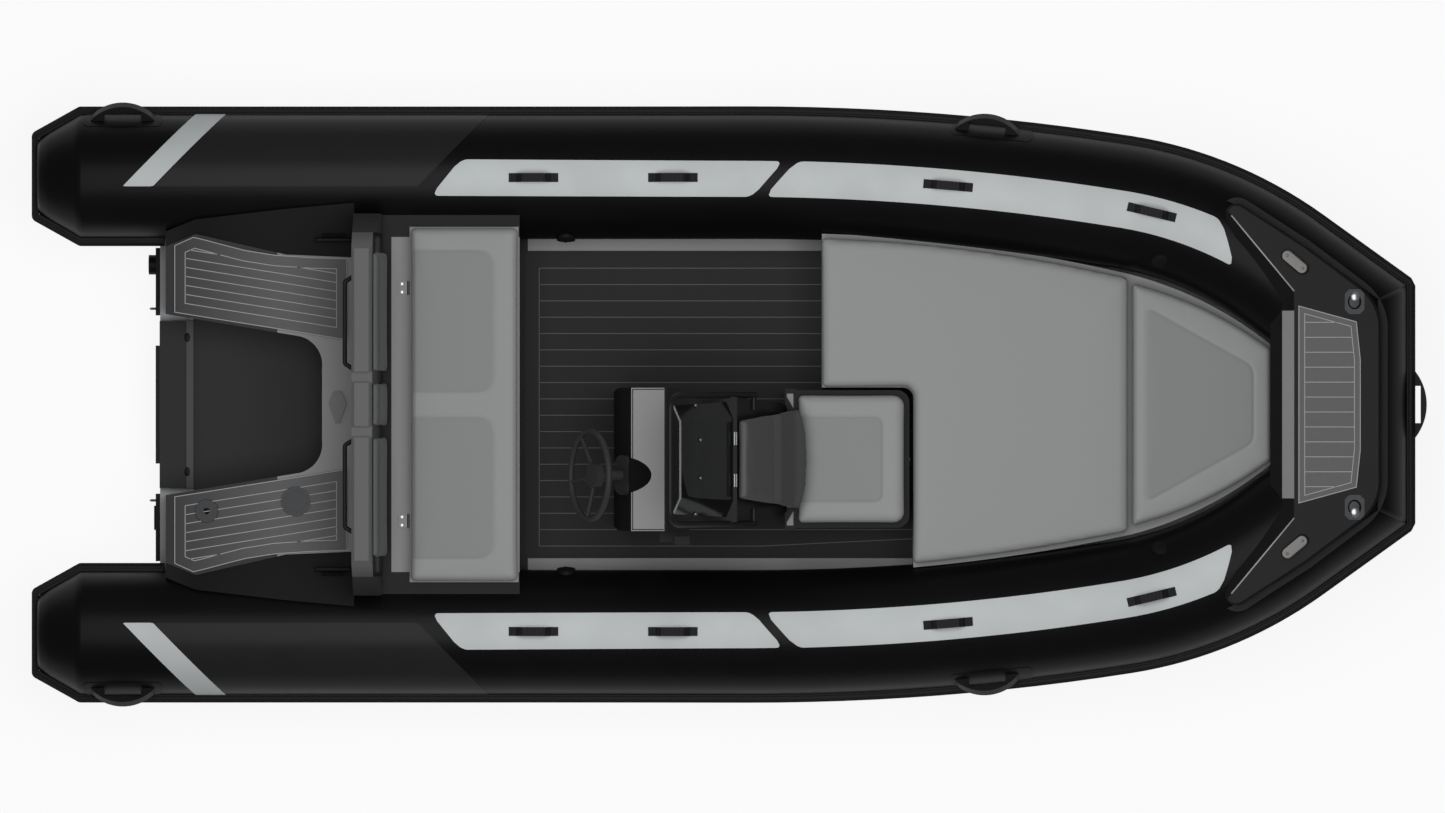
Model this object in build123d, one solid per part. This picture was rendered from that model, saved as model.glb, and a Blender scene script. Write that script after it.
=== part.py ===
from build123d import *
from math import atan, atan2, cos, degrees, radians, sin, sqrt, tan
import os

os.makedirs("parts", exist_ok=True)

# Driving dimensions, mm. X forward, Y to port, Z up, the waterline at Z 0, X 0 amidships.
LENGTH = 5600            # over the rub strake, stern cones to bow face
BEAM = 2418              # over the rub strake
TUBE_R = 255             # radius of the inflated tube
STRAKE_DEPTH = 28        # how far the rub strake stands off the tube
STRAKE_HALF = 36         # half height of the rub strake
CONE_LONG = 172          # length of a stern cone
CONE_END_R = 159         # radius of the flat end of a cone
AXIS_Z = 300             # height of the tube axis at the stern
SHEER = radians(4.5)     # rise of the tube from amidships to the bow
RISE_LONG = 900          # length over which the tube lifts to its sheer
BEND_R1, BEND_A1 = 9717, radians(9)       # gentle bend of the tube axis
BEND_R2, BEND_A2 = 1517, radians(35.8)    # tight bend that leads to the bow face
BOW_SHARE = 0.3833       # half length of the bow tube, as a share of the tube axis's half beam
FIT = 0.4                # clearance between curved faces
DECK_Z = 150             # top of the deck moulding
DECK_T = 15
PAD_T = 6                # foam deck covering
STERN_Z = 420            # top of the stern platforms
SEAT_Z = 500             # top of the seat bases
AXIS_Y = BEAM / 2 - STRAKE_DEPTH - TUBE_R
INNER = AXIS_Y - TUBE_R  # half width between the parallel tubes
CONE_END = -LENGTH / 2 + STRAKE_DEPTH
CONE_START = CONE_END + CONE_LONG
BOW_AXIS = LENGTH / 2 - STRAKE_DEPTH - TUBE_R
FAR = 4000               # past everything, for cutting blocks
STATION_SCALE = LENGTH / 5600    # the stations are drawn for a boat 5600 long
WIDTH_SCALE = INNER / 671        # and the stern for 671 from the centreline to the tube


def station(x):
    """A place along the boat, which moves in step with its length."""
    return x * STATION_SCALE


def width(y):
    """A place across the stern, which moves in step with the room between the tubes."""
    return y * WIDTH_SCALE


def save(node, *solids):
    """Write one node of the boat, from one solid or several that stand apart."""
    pieces = [s for shape in solids for s in shape.solids()]
    whole = pieces[0] if len(pieces) == 1 else Compound(children=pieces)
    export_step(whole, f"parts/{node}.step")


def box(x0, x1, y0, y1, z0, z1):
    """A box between two corners."""
    return Pos((x0 + x1) / 2, (y0 + y1) / 2, (z0 + z1) / 2) * Box(x1 - x0, y1 - y0, z1 - z0)


def across(points, y0, y1):
    """A side profile of (x, z) pairs carried from y0 to y1."""
    face = make_face(Polyline(*[(x, y0, z) for x, z in points], close=True))
    return extrude(face, amount=y1 - y0, dir=(0, 1, 0))


def rod(a, b, r):
    """A round bar from point a to point b."""
    a, b = Vector(a), Vector(b)
    return extrude(Plane(a, z_dir=b - a) * Circle(r), amount=(b - a).length)


def both(shape):
    """A piece and its twin on the other side of the boat."""
    return [shape, mirror(shape, about=Plane.XZ)]


def plan(*steps, z=0):
    """A plan face from corners (x, y), corners rounded by r (x, y, r) and arcs ((mid), (end))."""
    ends = [s[1] if isinstance(s[0], tuple) else s[:2] for s in steps]
    edges = []
    for i, step in enumerate(steps):
        a, b = (*ends[i - 1], z), (*ends[i], z)
        if isinstance(step[0], tuple):
            edges.append(ThreePointArc(a, (*step[0], z), b).edge())
        else:
            edges.append(Line(a, b).edge())
    face = make_face(edges)
    for step in steps:
        if len(step) == 3:
            near = face.vertices().sort_by_distance((step[0], step[1], z))[0]
            face = fillet(near, step[2])
    return face


def raised(face, z0, z1):
    """A plan face carried from z0 up to z1."""
    return Pos(0, 0, z0) * extrude(face, amount=z1 - z0)


def soft(shape, r):
    """Round the top edges of a cushion."""
    return fillet(shape.faces().sort_by(Axis.Z)[-1].edges(), r)


def largest(shape):
    """The biggest solid of a cut piece."""
    return max(shape.solids(), key=lambda s: s.volume)


def tilt(u, v, h=0):
    """A point of the forward tube plane, u along it, v to port and h square off it."""
    return (RISE_TO + u * cos(SHEER) - h * sin(SHEER), v, RISE_Z + u * sin(SHEER) + h * cos(SHEER))


U1 = BEND_R1 * sin(BEND_A1)
V1 = AXIS_Y - BEND_R1 * (1 - cos(BEND_A1))
U2 = U1 + BEND_R2 * (sin(BEND_A2) - sin(BEND_A1))
V2 = V1 - BEND_R2 * (cos(BEND_A1) - cos(BEND_A2))
V_BOW = AXIS_Y * BOW_SHARE
U_BOW = U2 + (V2 - V_BOW) / tan(BEND_A2)
RISE_TO = BOW_AXIS - U_BOW * cos(SHEER)
RISE_FROM = RISE_TO - RISE_LONG
RISE_R = RISE_LONG / sin(SHEER)
RISE_Z = AXIS_Z + RISE_R * (1 - cos(SHEER))


def axis_at(x):
    """Where the port tube axis stands at a station: its y and z."""
    if x <= RISE_FROM:
        return AXIS_Y, AXIS_Z
    if x <= RISE_TO:
        return AXIS_Y, AXIS_Z + RISE_R - sqrt(RISE_R ** 2 - (x - RISE_FROM) ** 2)
    u = (x - RISE_TO) / cos(SHEER)
    z = RISE_Z + u * sin(SHEER)
    if u <= U1:
        return AXIS_Y - BEND_R1 + sqrt(BEND_R1 ** 2 - u ** 2), z
    if u <= U2:
        s = sin(BEND_A1) + (u - U1) / BEND_R2
        return V1 - BEND_R2 * (cos(BEND_A1) - sqrt(1 - s * s)), z
    return V2 - (u - U2) * tan(BEND_A2), z


def side_at(x, gap):
    """The inner edge of the port tube at a station, and a gap outboard of it."""
    return axis_at(x)[0] - TUBE_R + gap


def over_tube(y):
    """The height of the level tube's top at a distance from the centreline."""
    return AXIS_Z + sqrt(TUBE_R ** 2 - (AXIS_Y - y) ** 2)


def bend(u0, v0, r, a0, a):
    """A point on a bend of radius r that starts at u0, v0 on heading a0."""
    return tilt(u0 + r * (sin(a) - sin(a0)), v0 - r * (cos(a0) - cos(a)))


def rising(a):
    """A point on the arc that lifts the tube from level to its sheer."""
    return (RISE_FROM + RISE_R * sin(a), AXIS_Y, AXIS_Z + RISE_R * (1 - cos(a)))


RUN_ON = 500
mid1, mid2 = BEND_A1 / 2, (BEND_A1 + BEND_A2) / 2
tube_axis = Wire([
    Line((CONE_START, AXIS_Y, AXIS_Z), (RISE_FROM, AXIS_Y, AXIS_Z)).edge(),
    ThreePointArc(rising(0), rising(SHEER / 2), rising(SHEER)).edge(),
    ThreePointArc(tilt(0, AXIS_Y), bend(0, AXIS_Y, BEND_R1, 0, mid1), tilt(U1, V1)).edge(),
    ThreePointArc(tilt(U1, V1), bend(U1, V1, BEND_R2, BEND_A1, mid2), tilt(U2, V2)).edge(),
    Line(tilt(U2, V2), tilt(U_BOW + RUN_ON, V2 - (U_BOW + RUN_ON - U2) * tan(BEND_A2))).edge(),
])
# The side tube and the bow tube meet on a mitre seam
corner = Vector(*tilt(U_BOW, V_BOW))
heading = Vector(*tilt(U_BOW, V_BOW)) - Vector(*tilt(U2, V2))
mitre = Plane(corner, z_dir=heading.normalized() + Vector(0, -1, 0))
bow_frame = Plane(tilt(U_BOW, 0), x_dir=(cos(SHEER), 0, sin(SHEER)), z_dir=(0, -1, 0))


def along_side(profile):
    """A section set square to the tube at its stern end, run along the side to the mitre."""
    start = Plane((CONE_START, AXIS_Y, AXIS_Z), x_dir=(0, 1, 0), z_dir=(1, 0, 0))
    return sweep(start * profile, path=tube_axis).split(mitre, keep=Keep.BOTTOM)


def along_bow(profile):
    """The same section run across the bow between the two mitre seams."""
    bar = extrude(bow_frame * profile, amount=FAR, both=True)
    bar = bar.split(mitre, keep=Keep.TOP)
    other = Plane((corner.X, -corner.Y, corner.Z), z_dir=(mitre.z_dir.X, -mitre.z_dir.Y, mitre.z_dir.Z))
    return bar.split(other, keep=Keep.TOP)


def cone(extra):
    """The tapered stern end of the port tube, swollen by extra."""
    end = CONE_END - extra
    from_end = (Align.CENTER, Align.CENTER, Align.MIN)
    body = Cone(CONE_END_R + extra, TUBE_R + extra, CONE_START - end, align=from_end)
    return Pos(end, AXIS_Y, AXIS_Z) * Rot(0, 90, 0) * body


side_tube = along_side(Circle(TUBE_R)) + cone(0)
bow_tube = along_bow(Circle(TUBE_R))
save("tube_port", side_tube)
save("tube_starboard", mirror(side_tube, about=Plane.XZ))
save("tube_bow", bow_tube)
side_room = along_side(Circle(TUBE_R + FIT)) + cone(FIT)
bow_room = along_bow(Circle(TUBE_R + FIT))


def clear(shape):
    """Cut away whatever would run into the tubes."""
    for room in (*both(side_room), bow_room):
        shape = shape - room
    return shape


# Rub strake: a grooved fender on a glued flange, all round the outside and round the stern cones
ARC_IN = TUBE_R + FIT
STRAKE_BEVEL = 14
GROOVE_DEEP, GROOVE_HALF, GROOVE_SLOPE = 7, 4, 3
FLANGE_T, FLANGE_HALF = 6, STRAKE_HALF + 14
CORNER_OFF = 9           # taken off the strake's corners at the bow
reach = TUBE_R + STRAKE_DEPTH
foot_in = sqrt(ARC_IN ** 2 - FLANGE_HALF ** 2)
fender_in = sqrt(ARC_IN ** 2 - STRAKE_HALF ** 2)
upper = [(foot_in, FLANGE_HALF), (foot_in + FLANGE_T, FLANGE_HALF), (fender_in + FLANGE_T, STRAKE_HALF),
         (reach - STRAKE_BEVEL, STRAKE_HALF), (reach, STRAKE_HALF - STRAKE_BEVEL),
         (reach, GROOVE_HALF + GROOVE_SLOPE), (reach - GROOVE_DEEP, GROOVE_HALF)]
strake_section = make_face([
    Polyline(*upper, *[(x, -y) for x, y in reversed(upper)]).edges(),
    ThreePointArc(upper[0], (ARC_IN, 0), (foot_in, -FLANGE_HALF)).edge(),
])
corner_turn = (radians(90) - BEND_A2) / 2
bisector = Vector(*tilt(cos(corner_turn), sin(corner_turn))) - Vector(*tilt(0, 0))
corner_plane = Plane(corner + bisector * (reach / cos(corner_turn) - CORNER_OFF), z_dir=bisector)
far_bisector = Vector(bisector.X, -bisector.Y, bisector.Z)
far_corner = Vector(corner_plane.origin.X, -corner_plane.origin.Y, corner_plane.origin.Z)
strake_side = along_side(strake_section).split(corner_plane, keep=Keep.BOTTOM)
strake_bow = along_bow(strake_section).split(corner_plane, keep=Keep.BOTTOM)
strake_bow = strake_bow.split(Plane(far_corner, z_dir=far_bisector), keep=Keep.BOTTOM)
STRAKE_INNER_END = station(-2262)
tail = [
    (STRAKE_INNER_END, AXIS_Y + TUBE_R), (CONE_START, AXIS_Y + TUBE_R), (CONE_END, AXIS_Y + CONE_END_R),
    (CONE_END, AXIS_Y - CONE_END_R), (CONE_START, AXIS_Y - TUBE_R), (STRAKE_INNER_END, AXIS_Y - TUBE_R),
]


def tail_band(out, half):
    """A level band round the stern cone, standing out from it and half high either side of its axis."""
    face = offset(make_face(Polyline(*tail, close=True)), amount=out, kind=Kind.ARC)
    return Pos(0, 0, AXIS_Z - half) * extrude(face, amount=2 * half)


fender = tail_band(STRAKE_DEPTH, STRAKE_HALF)
fender = chamfer(fender.edges().filter_by(Axis.Z, reverse=True), STRAKE_BEVEL - 1)
groove_ring = tail_band(STRAKE_DEPTH + 1, GROOVE_HALF) - tail_band(STRAKE_DEPTH - GROOVE_DEEP, GROOVE_HALF)
strake_tail = fender + tail_band(FLANGE_T, FLANGE_HALF) - groove_ring
strake_tail = strake_tail - box(CONE_START, FAR, AXIS_Y, FAR, -FAR, FAR)
strake_tail = strake_tail - box(STRAKE_INNER_END, FAR, 0, FAR, -FAR, FAR) - side_room
save("rub_strake_port", strake_side + strake_tail)
save("rub_strake_starboard", mirror(strake_side + strake_tail, about=Plane.XZ))
save("rub_strake_bow", strake_bow)

# Hull: vee sections from the keel out to the flange that carries the tube, with spray rails
HULL_TOP = DECK_Z - DECK_T
TRANSOM_X, DECK_TO = station(-2288), station(785)
SHELF_IN, SHELF_DROP, BOW_LIFT = 60, 8, 44
HULL_STATIONS = [  # x, keel below the shelf, chine as a share of the shelf's width, chine below the shelf
    (-2288, 372, 0.797, 77),
    (-900, 387, 0.797, 77),
    (200, 430, 0.786, 110),
    (790, 472, 0.761, 132),
    (1100, 481, 0.725, 126),
    (1510, 468, 0.643, 108),
    (1900, 409, 0.536, 84),
    (2180, 306, 0.411, 56),
    (2380, 162, 0.254, 30),
    (2480, 35, 0.062, 10),
]
RAILS = (0.36, 0.68)     # spray rails, as shares of the way from keel to chine
RAIL_WIDE = 0.05         # their width, as a share of the chine's half width
sections = []
for place, keel_drop, chine_share, chine_drop in HULL_STATIONS:
    x = station(place)
    axis_y, axis_z = axis_at(x)
    shelf_y, shelf_z = axis_y - SHELF_IN, axis_z - TUBE_R - SHELF_DROP
    top_z = shelf_z + BOW_LIFT
    if x < station(800):
        top_z = HULL_TOP
        shelf_z = min(shelf_z, HULL_TOP - SHELF_DROP)
    keel_z, chine_z, chine_y = shelf_z - keel_drop, shelf_z - chine_drop, shelf_y * chine_share
    halfline = []
    for share in RAILS:
        ledge_z = keel_z + share * (chine_z - keel_z)
        outer = share + RAIL_WIDE
        halfline += [(share * chine_y, ledge_z), (outer * chine_y, ledge_z),
                     (outer * chine_y, keel_z + outer * (chine_z - keel_z))]
    halfline += [(chine_y, chine_z), (shelf_y, shelf_z), (shelf_y, top_z)]
    outline = [(0, keel_z)] + halfline + [(-y, z) for y, z in reversed(halfline)]
    sections.append(make_face(Polyline(*[(x, y, z) for y, z in outline], close=True)))
hull_block = loft(sections, ruled=True)

# Engine bolts: the usual outboard pattern, two holes above and two below
BOLT_R = 6.5
BOLT_UPPER, BOLT_LOWER = (163.6, 110), (125.4, -93)
ENGINE_PAD_T = 16
ENGINE_PAD_HALF = 240
TRANSOM_TOP = 180
BOLT_DEPTH = 90
bolt_holes = []
for y, z in (BOLT_UPPER, BOLT_LOWER):
    hole = rod((TRANSOM_X - ENGINE_PAD_T - 1, y, z), (TRANSOM_X + BOLT_DEPTH, y, z), BOLT_R)
    bolt_holes += both(hole)
hull = clear(hull_block)
for hole in bolt_holes:
    hull = hull - hole
save("hull", hull)
ENGINE_PAD_LOW = -190
pad_face = TRANSOM_X - ENGINE_PAD_T
engine_pad = box(pad_face, TRANSOM_X, -ENGINE_PAD_HALF, ENGINE_PAD_HALF, ENGINE_PAD_LOW, TRANSOM_TOP)
for hole in bolt_holes:
    engine_pad = engine_pad - hole
save("engine_pad", engine_pad)

# Deck moulding between the stern bulkhead and the bow seat
BULK_AFT, BULK_FWD = station(-1486), station(-1372)
DECK_HALF = AXIS_Y - 126
deck = clear(box(BULK_FWD, DECK_TO, -DECK_HALF, DECK_HALF, HULL_TOP, DECK_Z))
save("deck", deck)
pad_top = DECK_Z + PAD_T

# Stern moulding: two platforms either side of the engine well, and wings up the tubes
PLATFORM_AFT, PLATFORM_HALF = station(-2252), INNER + 49
WELL_FLOOR = 147
TRANSOM_FWD, TRANSOM_HALF = station(-2150), width(340)
RIB_WIDE, RIB_HIGH = 29, 6
WELL = [(-2330, 380), (-2208, 359), (-1712, 277), (-1642, 232), (-1619, 146)]  # its corner lies at the fourth
well = [(station(x), width(y)) for x, y in WELL]
far_well = [(x, -y) for x, y in well]
well_face = plan(*well[:3], (well[3], well[4]),
                 far_well[4], (far_well[3], far_well[2]), far_well[1], far_well[0])
platform = box(PLATFORM_AFT, BULK_AFT, -PLATFORM_HALF, PLATFORM_HALF, HULL_TOP, STERN_Z)
platform = clear(platform - raised(well_face, HULL_TOP - 1, STERN_Z + 10))
WINGS = [  # x, inner and outer edge outboard of the tube's inner line, lip above the tube
    (-2252, -31, 29, 22),
    (-2130, 19, 77, 17),
    (-1766, -64, 119, 14),
    (-1486, -76, 144, 15),
]
WING_ROOT, WING_LIP, WING_UNDER = 60, 40, DECK_Z + 100
wings = [(station(x), INNER + a, INNER + b, over_tube(INNER + b) + lip) for x, a, b, lip in WINGS]
wing_faces = []
for x, inner_y, outer_y, outer_z in wings:
    edge = [(inner_y - WING_ROOT, WING_UNDER), (inner_y - WING_ROOT, STERN_Z), (inner_y, STERN_Z),
            (outer_y, outer_z), (outer_y, outer_z - WING_ROOT), (outer_y - WING_LIP, WING_UNDER)]
    wing_faces.append(make_face(Polyline(*[(x, y, z) for y, z in edge], close=True)))
port_wing = largest(clear(loft(wing_faces, ruled=True)) - platform)
pole_x, pole_y, POLE_R, POLE_DEPTH = station(-2086), width(-431), 13, 80
pole_hole = rod((pole_x, pole_y, STERN_Z - POLE_DEPTH), (pole_x, pole_y, STERN_Z + 30), POLE_R)
save("stern_platform", platform - pole_hole)
save("stern_wings", *both(port_wing))
well_floor = raised(well_face, HULL_TOP, WELL_FLOOR) & box(TRANSOM_FWD, FAR, -FAR, FAR, -FAR, FAR)
save("engine_well", well_floor)
transom_block = box(TRANSOM_X, TRANSOM_FWD, -TRANSOM_HALF, TRANSOM_HALF, -FAR, FAR)
rib_block = box(TRANSOM_FWD - RIB_WIDE, TRANSOM_FWD, -TRANSOM_HALF, TRANSOM_HALF, -FAR, FAR)
transom = raised(well_face, HULL_TOP, TRANSOM_TOP) & transom_block
transom_rib = raised(well_face, TRANSOM_TOP, TRANSOM_TOP + RIB_HIGH) & rib_block
save("transom", transom + transom_rib)
PAD_CORNER = 20
pad_inner = [(-2218, width(371), PAD_CORNER), (-1515, width(259), PAD_CORNER)]
pad_outer = [(-1515, INNER - 78, PAD_CORNER), ((-1810, INNER - 64), (-2030, INNER - 19)),
             ((-2090, INNER - 3), (-2140, INNER + 9)), (-2218, INNER - 26, PAD_CORNER)]
pad_steps = []
for step in pad_inner + pad_outer:
    if isinstance(step[0], tuple):
        pad_steps.append(tuple((station(x), y) for x, y in step))
    else:
        pad_steps.append((station(step[0]), *step[1:]))
pad_blank = raised(plan(*pad_steps), STERN_Z, STERN_Z + PAD_T)
SOCKET_R, SOCKET_T = 46, 12
FILLER_R, FILLER_T, CAP_R, CAP_T = 60, 10, 42, 6
FITTING_GAP = 2
filler_x, filler_y = station(-1725), width(-392)
pads = both(clear(pad_blank))
for x, y, r in ((pole_x, pole_y, SOCKET_R), (filler_x, filler_y, FILLER_R)):
    pads[1] = pads[1] - rod((x, y, STERN_Z - 1), (x, y, STERN_Z + 20), r + FITTING_GAP)
save("stern_pads", *pads)

# Fittings on the stern: pole socket, filler cap, cover of the towing eye, drain, lifting eyes, bumper bars
socket = rod((pole_x, pole_y, STERN_Z), (pole_x, pole_y, STERN_Z + SOCKET_T), SOCKET_R) - pole_hole
save("pole_socket", socket)
cap_z = STERN_Z + FILLER_T
filler = rod((filler_x, filler_y, STERN_Z), (filler_x, filler_y, cap_z), FILLER_R)
filler = filler + rod((filler_x, filler_y, cap_z), (filler_x, filler_y, cap_z + CAP_T), CAP_R)
save("fuel_filler", filler)
DROP_X, DROP_T = station(-1556), 14
drop_half = [(8, -75, 5), (38, 6, 22), (16, 52, 12)]  # out from its middle line, y, corner radius
drop = plan(*[(DROP_X + out, y, r) for out, y, r in drop_half],
            *[(DROP_X - out, y, r) for out, y, r in reversed(drop_half)])
save("tow_fitting", raised(drop, STERN_Z, STERN_Z + DROP_T))
EYE_Y, EYE_Z, EYE_R, EYE_BAR, EYE_OUT = width(391), 40, 16, 5, 26
eye = Pos(TRANSOM_X - EYE_OUT, EYE_Y, EYE_Z) * Rot(90, 0, 0) * Torus(EYE_R, EYE_BAR)
eye = eye + rod((TRANSOM_X, EYE_Y, EYE_Z), (TRANSOM_X - EYE_OUT + EYE_R - 4, EYE_Y, EYE_Z), EYE_BAR + 3)
save("transom_eyes", *both(eye))
DRAIN_Y, DRAIN_Z, DRAIN_R, DRAIN_LONG = width(570), 60, 40, 49
DRAIN_BORE, DRAIN_BACK = 32, 12
drain_end = TRANSOM_X - DRAIN_LONG
drain = rod((TRANSOM_X, DRAIN_Y, DRAIN_Z), (drain_end, DRAIN_Y, DRAIN_Z), DRAIN_R)
drain = drain - rod((TRANSOM_X - DRAIN_BACK, DRAIN_Y, DRAIN_Z), (drain_end - 1, DRAIN_Y, DRAIN_Z), DRAIN_BORE)
save("deck_drain", drain)
save("sounder_bracket", box(TRANSOM_X - 30, TRANSOM_X, width(-512), width(-413), -60, 20))
BUMPER_T, BUMPER_HIGH = 18, 30
bumper = box(TRANSOM_X - BUMPER_T, TRANSOM_X, width(363), width(638), HULL_TOP - BUMPER_HIGH, HULL_TOP)
save("stern_bumpers", *both(bumper))

# Bulkhead behind the bench: its raised top carries the backrest
BULK_TOP, BULK_EDGE = 900, 12
SEAT_SIDE = AXIS_Y - sqrt(TUBE_R ** 2 - (SEAT_Z - AXIS_Z) ** 2)    # where a seat top meets the tube
BULK_SHOULDER, BULK_FOOT = INNER - 45, SEAT_SIDE + 2
BULK_BACK, SLOPE_HIGH, SLOPE_LOW = station(-1405), 885, 580
bulk_profile = [(BULK_AFT, HULL_TOP), (BULK_AFT, BULK_TOP - BULK_EDGE), (BULK_AFT + BULK_EDGE, BULK_TOP),
                (BULK_BACK - BULK_EDGE, BULK_TOP), (BULK_BACK, SLOPE_HIGH), (BULK_FWD, SLOPE_LOW),
                (BULK_FWD, HULL_TOP)]
bulkhead = across(bulk_profile, -BULK_FOOT, BULK_FOOT)
SHOULDER_Z = 640
shoulder = [(BULK_SHOULDER, BULK_TOP + 5), (BULK_SHOULDER, BULK_TOP), (BULK_FOOT, SHOULDER_Z),
            (BULK_FOOT + TUBE_R, SHOULDER_Z), (BULK_FOOT + TUBE_R, BULK_TOP + 5)]
shoulder_face = make_face(Polyline(*[(-FAR, y, z) for y, z in shoulder], close=True))
for cut in both(extrude(shoulder_face, amount=2 * FAR, dir=(1, 0, 0))):
    bulkhead = bulkhead - cut
GROOVE_IN, GROOVE_OUT = 87, 132
for groove in both(box(-FAR, FAR, GROOVE_IN, GROOVE_OUT, BULK_TOP - 20, BULK_TOP + 5)):
    bulkhead = bulkhead - groove
bulkhead = clear(bulkhead)
save("bulkhead", bulkhead)
BACK_LOW, BACK_HIGH, BACK_T, BACK_LEAN = 592, 872, 24, 4
slope_x = (BULK_FWD - BULK_BACK) / (SLOPE_HIGH - SLOPE_LOW)
face_low = BULK_FWD - (BACK_LOW - SLOPE_LOW) * slope_x + FIT
face_high = BULK_FWD - (BACK_HIGH - SLOPE_LOW) * slope_x + FIT
back_profile = [(face_low, BACK_LOW), (face_low + BACK_T, BACK_LOW + BACK_LEAN),
                (face_high + BACK_T, BACK_HIGH - BACK_LEAN), (face_high, BACK_HIGH)]
BACK_HALF = INNER - 53
outer_pad = across(back_profile, GROOVE_OUT, BACK_HALF)
save("bench_backrest", *both(outer_pad), across(back_profile, -GROOVE_IN, GROOVE_IN))
GRIP_R, GRIP_STAND, GRIP_Z, GRIP_SLANT = 9, 29, 800, 24
grip_x = BULK_AFT - GRIP_STAND
grip_in, grip_out = GROOVE_OUT + 8, BACK_HALF - 101
grip_root = BULK_AFT + GRIP_R
grip_path = FilletPolyline(
    (grip_root, grip_in, GRIP_Z), (grip_x, grip_in + GRIP_SLANT, GRIP_Z),
    (grip_x, grip_out - GRIP_SLANT, GRIP_Z), (grip_root, grip_out, GRIP_Z), radius=GRIP_R + 3)
grip_bar = sweep(Plane(grip_path @ 0, z_dir=grip_path % 0) * Circle(GRIP_R), path=grip_path.wire())
save("bulkhead_handles", *both(largest(grip_bar - bulkhead)))

# Rear bench: an open locker under a hinged lid
BENCH_FWD = station(-818)
LID_AFT, LID_FWD = station(-1262), station(-822)
LID_T, LID_GAP = 16, 0.5
BENCH_IN, BENCH_HALF, LID_HALF = INNER - 16, SEAT_SIDE - 2, INNER + 47
WALL, TOE, RIM_T = 25, 16, 18
LOCKER_AFT, LOCKER_FLOOR = station(-1300), 20
OPEN_AFT, OPEN_FWD, OPEN_HALF = station(-1235), BENCH_FWD - 45, INNER - 61
bench = box(BULK_FWD, BENCH_FWD - TOE, -BENCH_IN, BENCH_IN, DECK_Z, SEAT_Z - RIM_T)
locker_half, locker_fwd = BENCH_IN - WALL, BENCH_FWD - TOE - WALL
bench = bench - box(LOCKER_AFT, locker_fwd, -locker_half, locker_half, DECK_Z + LOCKER_FLOOR, SEAT_Z)
top_rim = box(BULK_FWD, BENCH_FWD, -BENCH_HALF, BENCH_HALF, SEAT_Z - RIM_T, SEAT_Z)
top_rim = top_rim - box(OPEN_AFT, OPEN_FWD, -OPEN_HALF, OPEN_HALF, SEAT_Z - 30, SEAT_Z + 10)
save("bench_base", clear(bench + top_rim))
lid_z = SEAT_Z + LID_GAP
save("bench_lid", box(LID_AFT, LID_FWD, -LID_HALF, LID_HALF, lid_z, lid_z + LID_T))
BENCH_PAD_T, PAD_ROUND, CUSHION_R = 82, 20, 24
pad_aft, pad_fwd = LID_AFT + 1, LID_FWD + 2
bench_plan = plan((pad_aft, -LID_HALF, PAD_ROUND), (pad_fwd, -LID_HALF, PAD_ROUND),
                  (pad_fwd, LID_HALF, PAD_ROUND), (pad_aft, LID_HALF, PAD_ROUND))
save("bench_cushion", soft(raised(bench_plan, lid_z + LID_T, lid_z + LID_T + BENCH_PAD_T), CUSHION_R))
HINGE_X, HINGE_R, HINGE_Y = LID_AFT - 6, 5, INNER - 200
LEAF_LONG, LEAF_HALF, LEAF_T = 37, 27, 3
hinge_z = SEAT_Z + HINGE_R + LID_GAP
leaf_fwd = HINGE_X - HINGE_R
leaf = box(leaf_fwd - LEAF_LONG, HINGE_X, HINGE_Y - LEAF_HALF, HINGE_Y + LEAF_HALF, SEAT_Z, SEAT_Z + LEAF_T)
pin = rod((HINGE_X, HINGE_Y - LEAF_HALF, hinge_z), (HINGE_X, HINGE_Y + LEAF_HALF, hinge_z), HINGE_R)
save("bench_hinges", *both(leaf + pin))

# Bow seat: a raised base for the sun pad and the bow cushion
CONSOLE_HALF, NOSE_HALF, PASSAGE = 287, 222, 164
CONSOLE_Y = -(INNER - PASSAGE - CONSOLE_HALF)
SEAT_AFT, SEAT_FWD, SEAT_HALF, SEAT_GAP = station(262), station(757), 278, 13
SUN_AFT, SUN_MID, SUN_TURN = station(399), station(1040), station(1220)
SEAM_X, SEAM_GAP, BOW_MID = station(1648), 4, station(1960)
BASE_TOP = SEAT_Z - 20
PAD_HEIGHT, PAD_IN = 95, 11
NOTCH_X, NOTCH_Y, NOTCH_R = SEAT_FWD + SEAT_GAP, CONSOLE_Y + SEAT_HALF + SEAT_GAP + 2, 42
sun_fore, sun_end = SEAM_X - SEAM_GAP, side_at(SEAM_X - SEAM_GAP, -30)
sun_face = plan((SUN_AFT, NOTCH_Y, 14), (SUN_AFT, side_at(SUN_AFT, 13), 14),
                ((SUN_MID, side_at(SUN_MID, 2)), (sun_fore, sun_end)), (sun_fore, -sun_end),
                ((SUN_TURN, -side_at(SUN_TURN, -12)), (NOTCH_X, -side_at(NOTCH_X, 2))),
                (NOTCH_X, NOTCH_Y, NOTCH_R))
base_aft, base_notch = SUN_AFT + 5, NOTCH_X + 4
base_fore, base_fore_y = corner.X - 291, corner.Y - 119
seam_y, bow_mid_y = side_at(SEAM_X, -30 + PAD_IN), side_at(BOW_MID, -44)
base_face = plan((base_aft, NOTCH_Y - 4), (base_aft, side_at(base_aft, 13 + PAD_IN)),
                 ((SUN_MID, side_at(SUN_MID, 2 + PAD_IN)), (SEAM_X, seam_y)),
                 ((BOW_MID, bow_mid_y), (base_fore, base_fore_y)), (base_fore, -base_fore_y),
                 ((BOW_MID, -bow_mid_y), (SEAM_X, -seam_y)),
                 ((SUN_TURN, -side_at(SUN_TURN, -12 + PAD_IN)), (base_notch, -side_at(base_notch, PAD_IN))),
                 (base_notch, NOTCH_Y - 4, NOTCH_R))
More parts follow.
